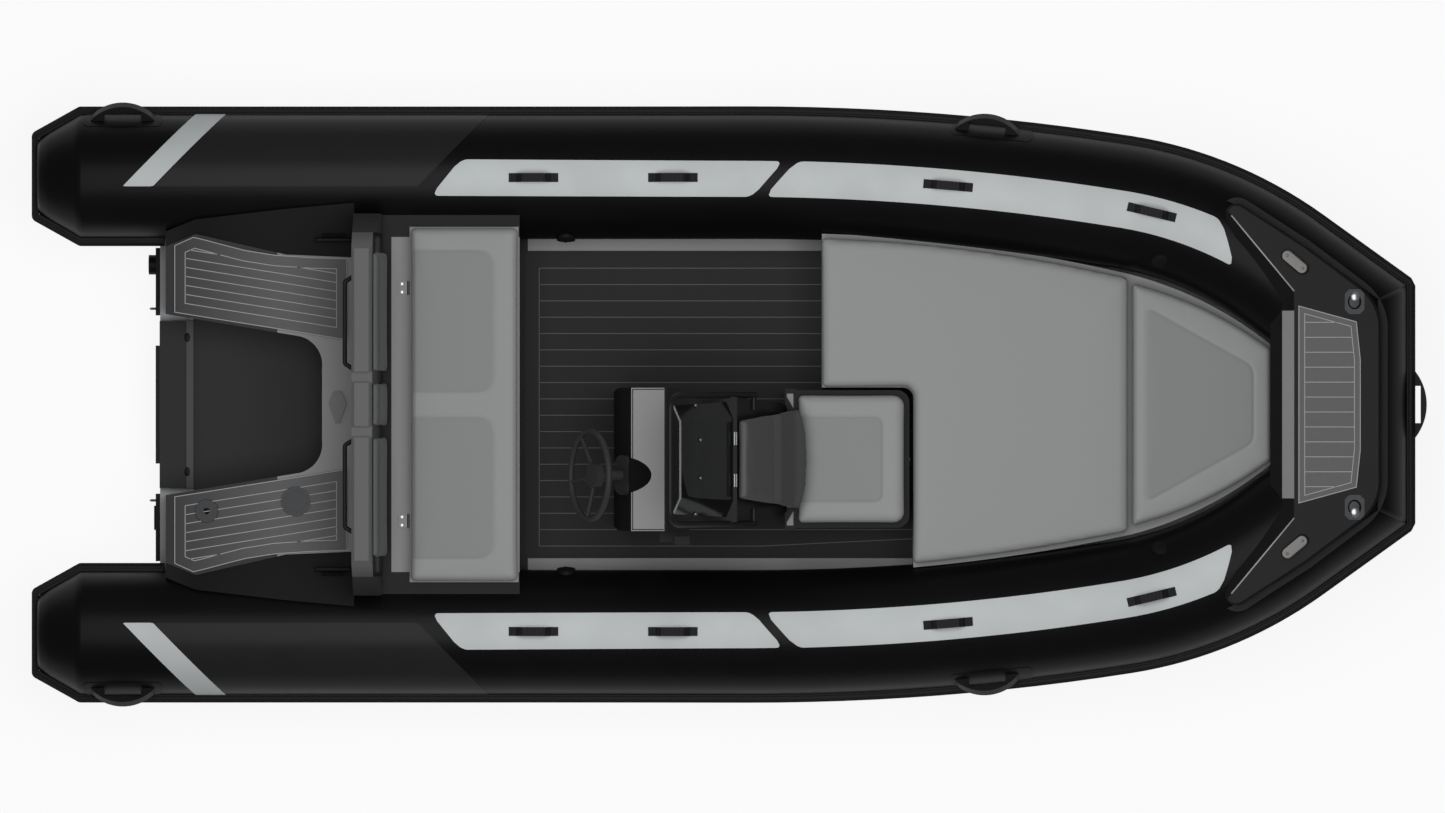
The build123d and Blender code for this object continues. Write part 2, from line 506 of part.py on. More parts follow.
base = largest(clear(raised(base_face, HULL_TOP, BASE_TOP) - hull_block - deck))
save("bow_base", base)
save("sun_pad", soft(raised(sun_face, BASE_TOP, BASE_TOP + PAD_HEIGHT), CUSHION_R))
bow_aft, bow_fore, bow_fore_y = SEAM_X + SEAM_GAP, base_fore - 3, base_fore_y - 9
bow_aft_y, bow_side = side_at(bow_aft, -51), side_at(BOW_MID, -66)
bow_face = plan((bow_aft, bow_aft_y), ((BOW_MID, bow_side), (bow_fore, bow_fore_y)), (bow_fore, -bow_fore_y),
                ((BOW_MID, -bow_side), (bow_aft, -bow_aft_y)))
save("bow_cushion", soft(raised(bow_face, BASE_TOP, BASE_TOP + PAD_HEIGHT), CUSHION_R))

# Bow step: a moulding on a flange over the bow tube, with slopes down into the boat
STEP_H, STEP_LOW, STEP_BASE = TUBE_R + 35, TUBE_R - 90, TUBE_R - 163
STEP_FLANGE_H, STEP_FLANGE_WIDE, STEP_CHAMFER = TUBE_R - 40, 26, 9
step_frame = Plane(tilt(0, 0), x_dir=(cos(SHEER), 0, sin(SHEER)), z_dir=(-sin(SHEER), 0, cos(SHEER)))


def on_corner(ahead, outboard, *radius):
    """A place on the forward tube plane, ahead of the tube's bow corner and outboard of it."""
    return ((corner.X + ahead - RISE_TO) / cos(SHEER), corner.Y + outboard, *radius)


def step_plan(*half):
    """A plan outline on the forward tube plane, from its port half."""
    port = [on_corner(*place) for place in half]
    return plan(*port, *[(place[0], -place[1], *place[2:]) for place in reversed(port)])


def on_step(face, h0, h1):
    """A plan outline raised square off the forward tube plane from h0 to h1."""
    return step_frame * Pos(0, 0, h0) * extrude(face, amount=h1 - h0)


def step_point(place, h):
    """A point h above the forward tube plane."""
    return Vector(*tilt(*on_corner(*place), h))


def slope_cut(face, a, b, c):
    """What stands above the plane through a, b and c, within a plan outline."""
    normal = (b - a).cross(c - a)
    normal = normal if normal.Z > 0 else normal * -1
    return on_step(face, STEP_BASE - 30, STEP_H + TUBE_R).split(Plane(a, z_dir=normal), keep=Keep.TOP)


# Places ahead of the bow corner and outboard of it, with corner radii
STEP_HALF = [(176, 68, 230), (-136, 303), (-607, 609, 72), (-296, -21)]
STEP_RIDGE, STEP_TIP, STEP_FOOT = (-196, 101), (-447, 405), (-296, -21)
SLOPE_AFT = (-396, -143)
step_face = step_plan(*STEP_HALF)
step_top = on_step(offset(step_face, amount=-STEP_FLANGE_WIDE, kind=Kind.INTERSECTION), STEP_BASE, STEP_H)
top_edges = step_top.faces().sort_by(Axis(step_frame.origin, step_frame.z_dir))[-1].edges()
step = on_step(step_face, STEP_BASE, STEP_FLANGE_H) + chamfer(top_edges, STEP_CHAMFER)
ridge, tip = step_point(STEP_RIDGE, STEP_H), step_point(STEP_TIP, STEP_H)
foot = step_point(STEP_FOOT, STEP_LOW)
far_ridge = Vector(ridge.X, -ridge.Y, ridge.Z)
step = step - slope_cut(step_plan(STEP_RIDGE, SLOPE_AFT), ridge, far_ridge, foot)
wing_plan = plan(*[on_corner(*place) for place in (STEP_RIDGE, (-492, 460), (-577, 345), SLOPE_AFT)])
for cut in both(slope_cut(wing_plan, ridge, tip, foot)):
    step = step - cut
save("bow_step", largest(clear(step)))
STEP_PAD = [(71, -175), (55, -21), (-180, 44)]
save("bow_step_pad", on_step(step_plan(*STEP_PAD), STEP_H, STEP_H + PAD_T))


def set_on_step(ahead, outboard, turn, shape):
    """A fitting stood on the top of the bow step, turned about its upright."""
    return step_frame * Pos(*on_corner(ahead, outboard), STEP_H) * Rot(0, 0, turn) * shape


# Pop-up cleats, folded down: a plate with clipped corners and the crowned top of the horn
PLATE_X, PLATE_Y, PLATE_T, CLEAT_CLIP = 79, 100, 5, 18
plate = chamfer(Box(PLATE_X, PLATE_Y, PLATE_T).edges().filter_by(Axis.Z), CLEAT_CLIP)
crown = extrude(Ellipse(27, 31), amount=14)
crown = fillet(crown.faces().sort_by(Axis.Z)[-1].edges(), 9)
pop_up = Pos(0, 0, PLATE_T / 2) * plate + crown
save("bow_cleats", *both(set_on_step(46, 58, 0, pop_up)))
LAMP_LONG, LAMP_WIDE, LAMP_T = 130, 54, 20
lamp = extrude(SlotOverall(LAMP_LONG, LAMP_WIDE), amount=LAMP_T)
lamp = fillet(lamp.faces().sort_by(Axis.Z)[-1].edges(), 9)
save("nav_lights", *both(set_on_step(-193, 218, -40, lamp)))

# Horn cleats on the stern wings
CLEAT_X, CLEAT_Y = station(-1571), INNER + 8
HORN_LONG, HORN_R, HORN_Z, LEG_R = 150, 9, 26, 7
span = (CLEAT_X - wings[2][0]) / (wings[3][0] - wings[2][0])
wing_in, wing_out, wing_top = [a + (b - a) * span for a, b in zip(wings[2][1:], wings[3][1:])]
wing_rise = (wing_top - STERN_Z) / (wing_out - wing_in)
cleat_z = STERN_Z + (CLEAT_Y - wing_in) * wing_rise
horn = Pos(0, 0, HORN_Z) * Rot(0, 90, 0) * Cylinder(HORN_R, HORN_LONG)
legs = [Pos(x, 0, HORN_Z / 2) * Cylinder(LEG_R, HORN_Z) for x in (-20, 20)]
cleat = Pos(0, 0, 2) * Box(92, 32, 8) + fillet(horn.edges().filter_by(GeomType.CIRCLE), HORN_R - 2) + legs
wing_cleat = Pos(CLEAT_X, CLEAT_Y, cleat_z) * Rot(degrees(atan(wing_rise)), 0, 0) * cleat
save("stern_cleats", *both(largest(wing_cleat - port_wing)))

# Helm console, offset to starboard, with the front seat ahead of it
CONSOLE_WALL, CONSOLE_AFT, SHOULDER_X, NOSE_R = 14, station(-437), station(-219), 30
DASH_Z, HELM_STAND = 905, 165
console_profile = [(-420, pad_top), (-435, 760), (-364, DASH_Z), (-230, DASH_Z + 8),
                   (40, 985), (60, 985), (262, 560), (262, pad_top)]
inner_profile = [(-405, pad_top + 15), (-419, 758), (-353, DASH_Z - 15), (-230, DASH_Z - 12),
                 (36, 968), (48, 968), (247, 552), (247, pad_top + 15)]


def console_plan(inset):
    """The console's plan outline, drawn in by a wall thickness."""
    wide, nose, r = CONSOLE_HALF - inset, NOSE_HALF - inset, NOSE_R - inset
    half = [(CONSOLE_AFT, wide, r), (SHOULDER_X, wide), (SEAT_AFT + 2, nose, r)]
    port = [(x, CONSOLE_Y + y, *round_off) for x, y, *round_off in half]
    return plan(*port, *[(x, CONSOLE_Y - y, *round_off) for x, y, *round_off in reversed(half)])


def console_block(profile, inset):
    """A side profile carried across and trimmed to the plan outline."""
    return across([(station(x), z) for x, z in profile], -FAR, FAR) & raised(console_plan(inset), 0, FAR)


console_solid = console_block(console_profile, 0)
HATCH_HOLE_HALF, HATCH_LOW, HATCH_HIGH = 140, 650, 905
hatch_hole = box(0, FAR, CONSOLE_Y - HATCH_HOLE_HALF, CONSOLE_Y + HATCH_HOLE_HALF, HATCH_LOW, HATCH_HIGH)
save("console", console_solid - console_block(inner_profile, CONSOLE_WALL) - hatch_hole)
HELM_TILT = radians(26)
HELM = Vector(station(-364) - HELM_STAND, CONSOLE_Y - 63, DASH_Z + 36)
helm_dir = Vector(-cos(HELM_TILT), 0, sin(HELM_TILT))
HUB_R, HUB_T, HUB_FACE = 50, 34, 6


def on_helm(t):
    """A frame on the steering axis, t ahead of the wheel centre."""
    return Plane(HELM - helm_dir * t, x_dir=(0, 1, 0), z_dir=helm_dir)


BOSS_R, BOSS_FACE, BOSS_DEEP, SHAFT_R, SHAFT_DEEP = 80, 138, 420, 22, 160
boss = extrude(on_helm(BOSS_DEEP) * Circle(BOSS_R), amount=BOSS_DEEP - BOSS_FACE)
boss = boss + extrude(on_helm(SHAFT_DEEP) * Circle(SHAFT_R), amount=SHAFT_DEEP - HUB_T - HUB_FACE - FIT)
save("helm_boss", largest(boss - console_solid))
RIM_R, RIM_BAR, SPOKE_R, SPOKE_DISH = 177.5, 12.5, 9, 22
wheel = on_helm(0) * Torus(RIM_R, RIM_BAR)
wheel = wheel + extrude(on_helm(HUB_T + HUB_FACE) * Circle(HUB_R), amount=HUB_T)
SPOKES = (28, 99.5, 171)  # degrees down from the port side
for spoke in SPOKES:
    a = radians(spoke)
    end = on_helm(0).from_local_coords(Vector(RIM_R * cos(a), RIM_R * sin(a), 0))
    root = on_helm(SPOKE_DISH).from_local_coords(Vector(30 * cos(a), 30 * sin(a), 0))
    wheel = wheel + rod(root, end, SPOKE_R)
save("steering_wheel", wheel)

# Windscreen, its rail and the backrest hatch
SCREEN_X, SCREEN_Z = station(36), 985 + FIT
SCREEN_LEAN, SCREEN_RISE = -206, 290
LOW_HALF, TOP_HALF = 166, 152
WRAP_X, WRAP_Y = -28, 64
SCREEN_T = 8


def screen_section(x, half, z):
    """The windscreen cut level: a flat front with a cheek swept back on each side."""
    back = [(x + WRAP_X, -half - WRAP_Y), (x, -half), (x, half), (x + WRAP_X, half + WRAP_Y)]
    front = [(bx + SCREEN_T, by) for bx, by in reversed(back)]
    return make_face(Polyline(*[(px, CONSOLE_Y + py, z) for px, py in back + front], close=True))


screen_top = screen_section(SCREEN_X + SCREEN_LEAN, TOP_HALF, SCREEN_Z + SCREEN_RISE)
save("windscreen", loft([screen_section(SCREEN_X, LOW_HALF, SCREEN_Z), screen_top], ruled=True))
RAIL_R, RAIL_HALF = 12.5, 258
RAIL_FOOT, RAIL_TOP = (station(134), 835), (station(-206), 1300)
RAIL_BEND, STUD_LONG, STUD_R = 60, 60, 11
rail_corners = [(x, CONSOLE_Y + side * RAIL_HALF, z) for side, (x, z) in
                ((-1, RAIL_FOOT), (-1, RAIL_TOP), (1, RAIL_TOP), (1, RAIL_FOOT))]
rail_path = FilletPolyline(*rail_corners, radius=RAIL_BEND)
rail = sweep(Plane(rail_path @ 0, z_dir=rail_path % 0) * Circle(RAIL_R), path=rail_path.wire())
stud_x, stud_z = RAIL_FOOT[0] - 6, RAIL_FOOT[1] + 10
for side in (1, -1):
    y = CONSOLE_Y + side * RAIL_HALF
    stud = rod((stud_x, y, stud_z), (stud_x, y - side * STUD_LONG, stud_z), STUD_R)
    rail = rail + stud + Pos(RAIL_FOOT[0], y, RAIL_FOOT[1]) * Sphere(RAIL_R)
save("windscreen_rail", largest(rail - console_solid))
HATCH_GAP = 0.5
hatch_profile = [(65, 976), (66, 1000), (92, 1003), (205, 890), (236, 770), (290, 700), (348, 665),
                 (344, 640), (243, 602)]
HATCH_TOP_HALF, HATCH_LOW_HALF = 160, 202
hatch_aft, hatch_fore, hatch_bow = station(60), station(316), station(348)
hatch_plan = plan((hatch_aft, CONSOLE_Y - HATCH_TOP_HALF), (hatch_fore, CONSOLE_Y - HATCH_LOW_HALF),
                  ((hatch_bow, CONSOLE_Y), (hatch_fore, CONSOLE_Y + HATCH_LOW_HALF)),
                  (hatch_aft, CONSOLE_Y + HATCH_TOP_HALF))
hatch_block = across([(station(x), z) for x, z in hatch_profile], -FAR, FAR) & raised(hatch_plan, 500, FAR)
front_face = [(60, 985), (262, 560), (0, 560), (0, 985)]
front_room = across([(station(x) + HATCH_GAP, z) for x, z in front_face], -FAR, FAR)
save("backrest_hatch", hatch_block - front_room)
PIVOT_X, PIVOT_Z, KNUCKLE_R, KNUCKLE_HALF, KNUCKLE_Y = station(58), 991, 5, 26, 84
knuckles = []
for y in (CONSOLE_Y + KNUCKLE_Y, CONSOLE_Y - KNUCKLE_Y):
    plate = box(PIVOT_X - 10, PIVOT_X, y - KNUCKLE_HALF, y + KNUCKLE_HALF, PIVOT_Z - 6, PIVOT_Z - 3)
    pin = rod((PIVOT_X, y - KNUCKLE_HALF, PIVOT_Z), (PIVOT_X, y + KNUCKLE_HALF, PIVOT_Z), KNUCKLE_R)
    knuckles.append(plate + pin)
save("hatch_hinges", *knuckles)

# Front seat ahead of the console, and the engine control on its side
SEAT_ROUND, SEAT_IN, SEAT_PAD_T = 50, 15, 85
seat_face = plan((SEAT_AFT, CONSOLE_Y - SEAT_HALF), (SEAT_FWD, CONSOLE_Y - SEAT_HALF, SEAT_ROUND),
                 (SEAT_FWD, CONSOLE_Y + SEAT_HALF, SEAT_ROUND), (SEAT_AFT, CONSOLE_Y + SEAT_HALF))
save("front_seat_base", raised(seat_face, pad_top, SEAT_Z))
pad_half = SEAT_HALF - SEAT_IN
seat_pad = [(SEAT_AFT + 42, pad_half, 16), (SEAT_FWD - SEAT_IN - 1, pad_half, SEAT_ROUND - 5)]
seat_pad_face = plan(*[(x, CONSOLE_Y + y, r) for x, y, r in seat_pad],
                     *[(x, CONSOLE_Y - y, r) for x, y, r in reversed(seat_pad)])
save("front_seat_cushion", soft(raised(seat_pad_face, SEAT_Z, SEAT_Z + SEAT_PAD_T), CUSHION_R))
CONTROL_T, CONTROL_AFT, CONTROL_FWD = 45, station(-250), station(-130)
LEVER_R, LEVER_KNOB = 9, 34
control_side = CONSOLE_Y - CONSOLE_HALF
lever_y, lever_x = control_side - CONTROL_T + 7, (CONTROL_AFT + CONTROL_FWD) / 2
control = box(CONTROL_AFT, CONTROL_FWD, control_side - CONTROL_T, control_side + CONTROL_T, 700, 830)
control = largest(control - console_solid)
control = control + rod((lever_x, lever_y, 800), (lever_x + 30, lever_y, 960), LEVER_R)
control = control + Pos(lever_x + 30, lever_y, 975) * Box(60, LEVER_KNOB, LEVER_KNOB)
save("engine_control", control)

# The foam deck covering lies inside the coaming
COVER_HALF = INNER - 46
covering = box(BENCH_FWD + 16, DECK_TO - 5, -COVER_HALF, COVER_HALF, DECK_Z, pad_top) - base
save("deck_pad", clear(covering))

# Webbing handles on the tube tops
STRAPS = (-761, -198, 911, 1729)
STRAP_IN, STRAP_HALF = 10, 18
arch = [(-100, -4), (-100, 4), (-70, 8), (-45, 34), (45, 34), (70, 8), (100, 4), (100, -4),
        (72, -4), (46, 28), (-46, 28), (-72, -4)]
straps = []
for place in STRAPS:
    x = station(place)
    axis_y, axis_z = axis_at(x)
    turn = degrees(atan2(axis_at(x + 1)[0] - axis_y, 1))
    top = axis_z + sqrt(TUBE_R ** 2 - STRAP_IN ** 2)
    pitch = -degrees(SHEER) * min(1, max(0, (x - RISE_FROM) / RISE_LONG))
    loop = Pos(x, axis_y - STRAP_IN, top) * Rot(0, pitch, turn) * across(arch, -STRAP_HALF, STRAP_HALF)
    straps.append(largest(clear(loop)))
save("tube_straps_port", *straps)
save("tube_straps_starboard", *[mirror(s, about=Plane.XZ) for s in straps])

# Moulded carry handles outside the tubes and at the bow face
HANDLE_LONG, BOW_HANDLE_OUT, SIDE_HANDLE_OUT, HANDLE_WIDE = 268, 46, 65, 46
HANDLE_SLOT, HANDLE_BAR, HANDLE_WEB = 150, 12, 6
HANDLE_RISE = radians(25)


def handle(reach):
    """A crescent handle with a finger slot: its back on x 0, bowing out along +x by reach."""
    bow = [Line((0, -HANDLE_LONG / 2), (0, HANDLE_LONG / 2)).edge(),
           ThreePointArc((0, HANDLE_LONG / 2), (reach, 0), (0, -HANDLE_LONG / 2)).edge()]
    body = extrude(make_face(bow), amount=HANDLE_WIDE / 2, both=True)
    slot_wide = reach - HANDLE_BAR - HANDLE_WEB
    return body - Pos(slot_wide / 2 - HANDLE_WEB, 0, 0) * Box(slot_wide, HANDLE_SLOT, HANDLE_WIDE + 2)


bow_face_frame = Plane(tilt(U_BOW + reach, 0), x_dir=step_frame.x_dir, z_dir=step_frame.z_dir)
save("bow_handle", bow_face_frame * handle(BOW_HANDLE_OUT))
handles = []
for x in (CONE_START + 174, station(1057)):
    here, ahead = Vector(x, *axis_at(x)), Vector(x + 1, *axis_at(x + 1))
    run = (ahead - here).normalized()
    out = Vector(0, cos(HANDLE_RISE), sin(HANDLE_RISE))
    out = (out - run * out.dot(run)).normalized()
    frame = Plane(here + out * (TUBE_R - 3), x_dir=out, z_dir=out.cross(run))
    handles += both(largest(clear(frame * handle(SIDE_HANDLE_OUT))))
save("carry_handles", *handles)

# Air valves on the inner faces of the tubes
VALVE_R, VALVE_T, VALVE_SEAT = 38, 17, 5
VALVES = [(-632, 0.97), (1770, 0.735)]  # x, lean inboard as a share of the tube radius
valves = []
for place, lean in VALVES:
    x = station(place)
    out = Vector(0, -lean, sqrt(1 - lean ** 2))
    seat = Vector(x, *axis_at(x)) + out * (TUBE_R - VALVE_SEAT)
    valves += both(largest(clear(rod(seat, seat + out * VALVE_T, VALVE_R))))
save("air_valves", *valves)
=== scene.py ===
"""Looks of an open rigid inflatable boat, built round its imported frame."""
from math import cos, pi, radians, sin, tan

import bmesh
import bpy
import numpy as np
from bpy.props import FloatProperty, FloatVectorProperty, IntProperty, PointerProperty
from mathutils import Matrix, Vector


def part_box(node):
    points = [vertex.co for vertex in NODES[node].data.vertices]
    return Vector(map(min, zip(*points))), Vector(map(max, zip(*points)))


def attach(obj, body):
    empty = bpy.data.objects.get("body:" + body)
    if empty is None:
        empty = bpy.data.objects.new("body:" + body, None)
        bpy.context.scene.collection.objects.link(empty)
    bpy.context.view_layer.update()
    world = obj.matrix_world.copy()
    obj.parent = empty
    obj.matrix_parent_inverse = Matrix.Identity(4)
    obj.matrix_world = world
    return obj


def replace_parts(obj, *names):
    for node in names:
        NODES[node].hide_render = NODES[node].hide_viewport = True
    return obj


bl_info = {
    "name": "Rigid inflatable boat",
    "version": (1, 0, 0),
    "blender": (4, 5, 0),
    "location": "View3D > Sidebar > Boat",
    "description": "Fabric, cushions, foam decking, trim and stage for an inflatable boat",
    "category": "Object",
}

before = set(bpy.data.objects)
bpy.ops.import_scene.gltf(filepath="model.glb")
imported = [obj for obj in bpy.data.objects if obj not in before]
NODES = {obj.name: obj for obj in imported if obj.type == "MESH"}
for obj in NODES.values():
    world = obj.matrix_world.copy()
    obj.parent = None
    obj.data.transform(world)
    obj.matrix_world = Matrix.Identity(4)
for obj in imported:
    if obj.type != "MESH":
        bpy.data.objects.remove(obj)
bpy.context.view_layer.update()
MM = 0.001
UP = np.array([0.0, 0.0, 1.0])


def linear(code):
    """sRGB hex to the linear colour that a shader takes."""
    values = np.array([int(code[i:i + 2], 16) for i in (1, 3, 5)]) / 255
    curve = np.where(values <= 0.04045, values / 12.92, ((values + 0.055) / 1.055) ** 2.4)
    return (*curve.tolist(), 1.0)


def colour(name, code, description):
    """A colour setting with its sRGB hex default."""
    return FloatVectorProperty(name=name, description=description, subtype="COLOR", size=4, min=0, max=1,
                               default=linear(code))


def length(name, mm, description):
    """A length setting, written in millimetres and kept in metres."""
    return FloatProperty(name=name, description=description, unit="LENGTH", default=mm * MM)


class BoatColours(bpy.types.PropertyGroup):
    """Colours of the boat's fabrics, mouldings and fittings."""

    tube: colour("Tube fabric", "#0a0a0b", "Main fabric of the inflated tubes")
    panel: colour("Stern panel", "#1e1e1f", "Dark grey panel on the stern quarter of each tube")
    patch: colour("Wear patch", "#a9adae", "Light grey patches and stripe on the tubes")
    strake: colour("Rub strake", "#0a0a0a", "Rubber fender round the tubes")
    hull: colour("Hull", "#a3a6a8", "Powder coat of the hull")
    deck: colour("Light gelcoat", "#848484", "Deck, stern platforms, dash and seat bases")
    beam: colour("Bulkhead gelcoat", "#5b5b5b", "Raised beam behind the bench")
    black: colour("Black gelcoat", "#161616", "Wings, console screen panel and bow step")
    well: colour("Engine well", "#2f2f2f", "Floor of the engine well and the transom")
    cushion: colour("Cushion vinyl", "#828483", "Main panels of the cushions")
    inset: colour("Cushion inset", "#747776", "Sewn middle panels of the cushions")
    hatch: colour("Hatch vinyl", "#363637", "Cover of the backrest hatch")
    back: colour("Backrest vinyl", "#3a3c3d", "Cover of the pads behind the bench")
    deck_foam: colour("Deck foam", "#282828", "Foam covering of the cockpit floor")
    stern_foam: colour("Stern foam", "#5f5f5f", "Foam pads of the stern platforms and the bow step")
    groove: colour("Pad groove", "#9a9a9a", "Pale layer that shows in the grooves of the stern and bow pads")
    deck_groove: colour("Deck groove", "#565656", "Layer that shows in the grooves of the deck foam")
    # painted highlight: a pale colour for the beads along the ridges of the bow step
    edge: colour("Edge highlight", "#9c9c9c", "Thin bright edges of the bow step")
    plastic: colour("Black plastic", "#121212", "Small mouldings, rails and straps")
    wheel: colour("Wheel grip", "#2c2c2c", "Steering wheel and the helm behind it")
    wing: colour("Wing gelcoat", "#202020", "Stern wings up to the tubes")
    beam_end: colour("Bulkhead end", "#3a3a3a", "Sloping ends of the beam behind the bench")
    fitting: colour("Grey plastic", "#6a6a6a", "Cover of the towing eye")


class BoatSizes(bpy.types.PropertyGroup):
    """Sizes of what is sewn, glued or laid on the boat."""

    patch_lift: length("Patch lift", 1.2, "How far a glued patch stands off the tube")
    groove_width: length("Groove width", 3.4, "Width of a groove in the foam")
    plank: length("Plank spacing", 66.5, "Spacing of the deck grooves")
    stern_plank: length("Stern plank spacing", 36.0, "Spacing of the stern pad grooves")
    step_plank: length("Step plank spacing", 60.0, "Spacing of the bow pad grooves")
    swell: length("Cushion swell", 5.0, "Most that the stuffing may push a cover out")
    seam_depth: length("Seam depth", 2.0, "Depth of a sewn seam")
    rings: IntProperty(name="Tube sides", description="Faces round a tube", default=96, min=24)


def settings():
    """The boat's colours and sizes."""
    return bpy.context.scene.boat_colours, bpy.context.scene.boat_sizes


# Node and mesh helpers

def put(tree, node, inputs):
    """Give each named socket of a node its value, or a link from another socket."""
    for name, value in inputs.items():
        if isinstance(value, bpy.types.NodeSocket):
            tree.links.new(value, node.inputs[name])
        else:
            node.inputs[name].default_value = value


def add(tree, kind, inputs=None, **values):
    """One shader node with its settings and its inputs."""
    node = tree.nodes.new(kind)
    for name, value in values.items():
        setattr(node, name, value)
    put(tree, node, inputs or {})
    return node


def material(name):
    """An empty node material, with its tree, its shader and its object coordinates."""
    made = bpy.data.materials.new(name)
    made.use_nodes = True
    tree = made.node_tree
    tree.nodes.clear()
    shader = add(tree, "ShaderNodeBsdfPrincipled")
    add(tree, "ShaderNodeOutputMaterial", {"Surface": shader.outputs["BSDF"]})
    place = add(tree, "ShaderNodeTexCoord").outputs["Object"]
    return made, tree, shader, place


def per_metre(mm):
    """Texture scale that gives one cell for each mm of the object."""
    return 1 / (mm * MM)


def shade(base, share):
    """A colour made lighter or darker by a share."""
    return (*[channel * share for channel in base[:3]], 1.0)


def grid(rows, cols, closed_rows=False, closed_cols=False):
    """Quads between the points of a grid that is stored row by row."""
    i = np.arange(rows if closed_rows else rows - 1)[:, None]
    j = np.arange(cols if closed_cols else cols - 1)[None, :]
    down, right = (i + 1) % rows, (j + 1) % cols
    return np.stack([i * cols + j, i * cols + right, down * cols + right, down * cols + j], -1).reshape(-1, 4)


def ring_caps(rows, cols):
    """A face over the first ring of a closed grid and one over the last."""
    return [list(range(cols))[::-1], list(range((rows - 1) * cols, rows * cols))]


def flipped(faces):
    """Faces turned round."""
    return [face[::-1] for face in faces]


def piece(name, points, faces, finish, slot, smooth=True):
    """A mesh from arrays, with its finish, riding on the fixed body of the frame."""
    mesh = bpy.data.meshes.new(name)
    mesh.from_pydata(np.asarray(points).reshape(-1, 3).tolist(), [], [list(f) for f in faces])
    mesh.polygons.foreach_set("use_smooth", np.full(len(mesh.polygons), smooth))
    obj = bpy.data.objects.new(name, mesh)
    bpy.context.scene.collection.objects.link(obj)
    mesh.materials.append(finish)
    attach(obj, "root")
    return obj


def crease(obj):
    """Keep hard edges hard on a smooth-shaded piece."""
    obj.modifiers.new("Crease", "EDGE_SPLIT").split_angle = SMOOTH_ANGLE


def thicken(obj, thickness):
    """Give a flat piece a thickness behind its faces."""
    obj.modifiers.new("Thickness", "SOLIDIFY").thickness = thickness


def joined(*parts):
    """Several (points, faces) pairs as one."""
    points, faces, start = [], [], 0
    for p, f in parts:
        p = np.asarray(p).reshape(-1, 3)
        points.append(p)
        faces += [[int(i) + start for i in face] for face in f]
        start += len(p)
    return np.concatenate(points), faces


def unit(v):
    """Vectors of length one."""
    return v / np.linalg.norm(v, axis=-1, keepdims=True)


# The line of the port tube, in the boat's own sizes

TUBE_R = 0.255
CONE_START, CONE_END, CONE_END_R = -2.600, -2.772, 0.159
AXIS_Y, AXIS_Z = 0.926, 0.300
SHEER = radians(4.5)
RISE_FROM, RISE_TO = -0.800, 0.100
BENDS = [(9.717, radians(9)), (1.517, radians(35.8))]   # radius, heading at the end
STRAIGHT = 0.40
BOW_AXIS = 2.517


def tube_line(samples=3000):
    """Axis points and headings of the port tube: level, an arc up to the sheer, two plan bends, a straight.

    The plan heading a and the pitch b run linearly with length on each arc; the points are their running sum.
    """
    rise = (RISE_TO - RISE_FROM) / sin(SHEER)
    runs = [RISE_FROM - CONE_START, rise * SHEER, BENDS[0][0] * BENDS[0][1],
            BENDS[1][0] * (BENDS[1][1] - BENDS[0][1]), STRAIGHT]
    marks = np.concatenate([[0], np.cumsum(runs)])
    along = np.linspace(0, marks[-1], samples)
    pitch = np.interp(along, marks, [0, 0, SHEER, SHEER, SHEER, SHEER])
    turn = np.interp(along, marks, [0, 0, 0, BENDS[0][1], BENDS[1][1], BENDS[1][1]])
    heading = np.stack([np.cos(pitch) * np.cos(turn), -np.sin(turn), np.sin(pitch) * np.cos(turn)], -1)
    middle = unit((heading[1:] + heading[:-1]) / 2)
    steps = middle * np.diff(along)[:, None]
    points = np.concatenate([[[0, 0, 0]], np.cumsum(steps, 0)]) + [CONE_START, AXIS_Y, AXIS_Z]
    return along, points, heading


ALONG, AXIS, HEADING = tube_line()
MITRE = unit(HEADING[-1] + np.array([0.0, -1.0, 0.0]))   # normal of the plane between side tube and bow tube


def on_tube(along, angle, lift=0.0):
    """Points on the port tube: along its axis, at an angle up from outboard, lifted off the fabric.

    P = C + (R + lift) (cos a N + sin a B), with N level and outboard and B square to both N and the axis.
    """
    along, angle = np.broadcast_arrays(along, angle)
    centre = np.stack([np.interp(along, ALONG, AXIS[:, k]) for k in range(3)], -1)
    head = unit(np.stack([np.interp(along, ALONG, HEADING[:, k]) for k in range(3)], -1))
    side = unit(np.cross(UP, head))
    top = np.cross(head, side)
    return centre + (TUBE_R + lift) * (np.cos(angle)[..., None] * side + np.sin(angle)[..., None] * top)


def at_station(x):
    """Length along the tube at a station x."""
    return np.interp(x, AXIS[:, 0], ALONG)


def axis_at(x):
    """Point of the tube's axis at a station x."""
    return np.array([np.interp(x, AXIS[:, 0], AXIS[:, k]) for k in range(3)])


def mirrored(points):
    """The twin on the starboard side."""
    return np.asarray(points) * [1, -1, 1]


# Materials

def masked(tree, place, tone, zones, sides=None):
    """A tone with another colour from a station x onwards for each zone, and beyond a width y for sides."""
    axes = add(tree, "ShaderNodeSeparateXYZ", {"Vector": place})
    out = add(tree, "ShaderNodeMath", {0: axes.outputs["Y"]}, operation="ABSOLUTE")
    masks = [(axes.outputs["X"], *zone) for zone in zones]
    if sides:
        masks.append((out.outputs["Value"], *sides))
    for across, start, zone in masks:
        edge = add(tree, "ShaderNodeMath", {0: across, 1: start}, operation="GREATER_THAN")
        mixed = add(tree, "ShaderNodeMix", {"Factor": edge.outputs["Value"], "A": tone, "B": zone},
                    data_type="RGBA")
        tone = mixed.outputs["Result"]
    return tone


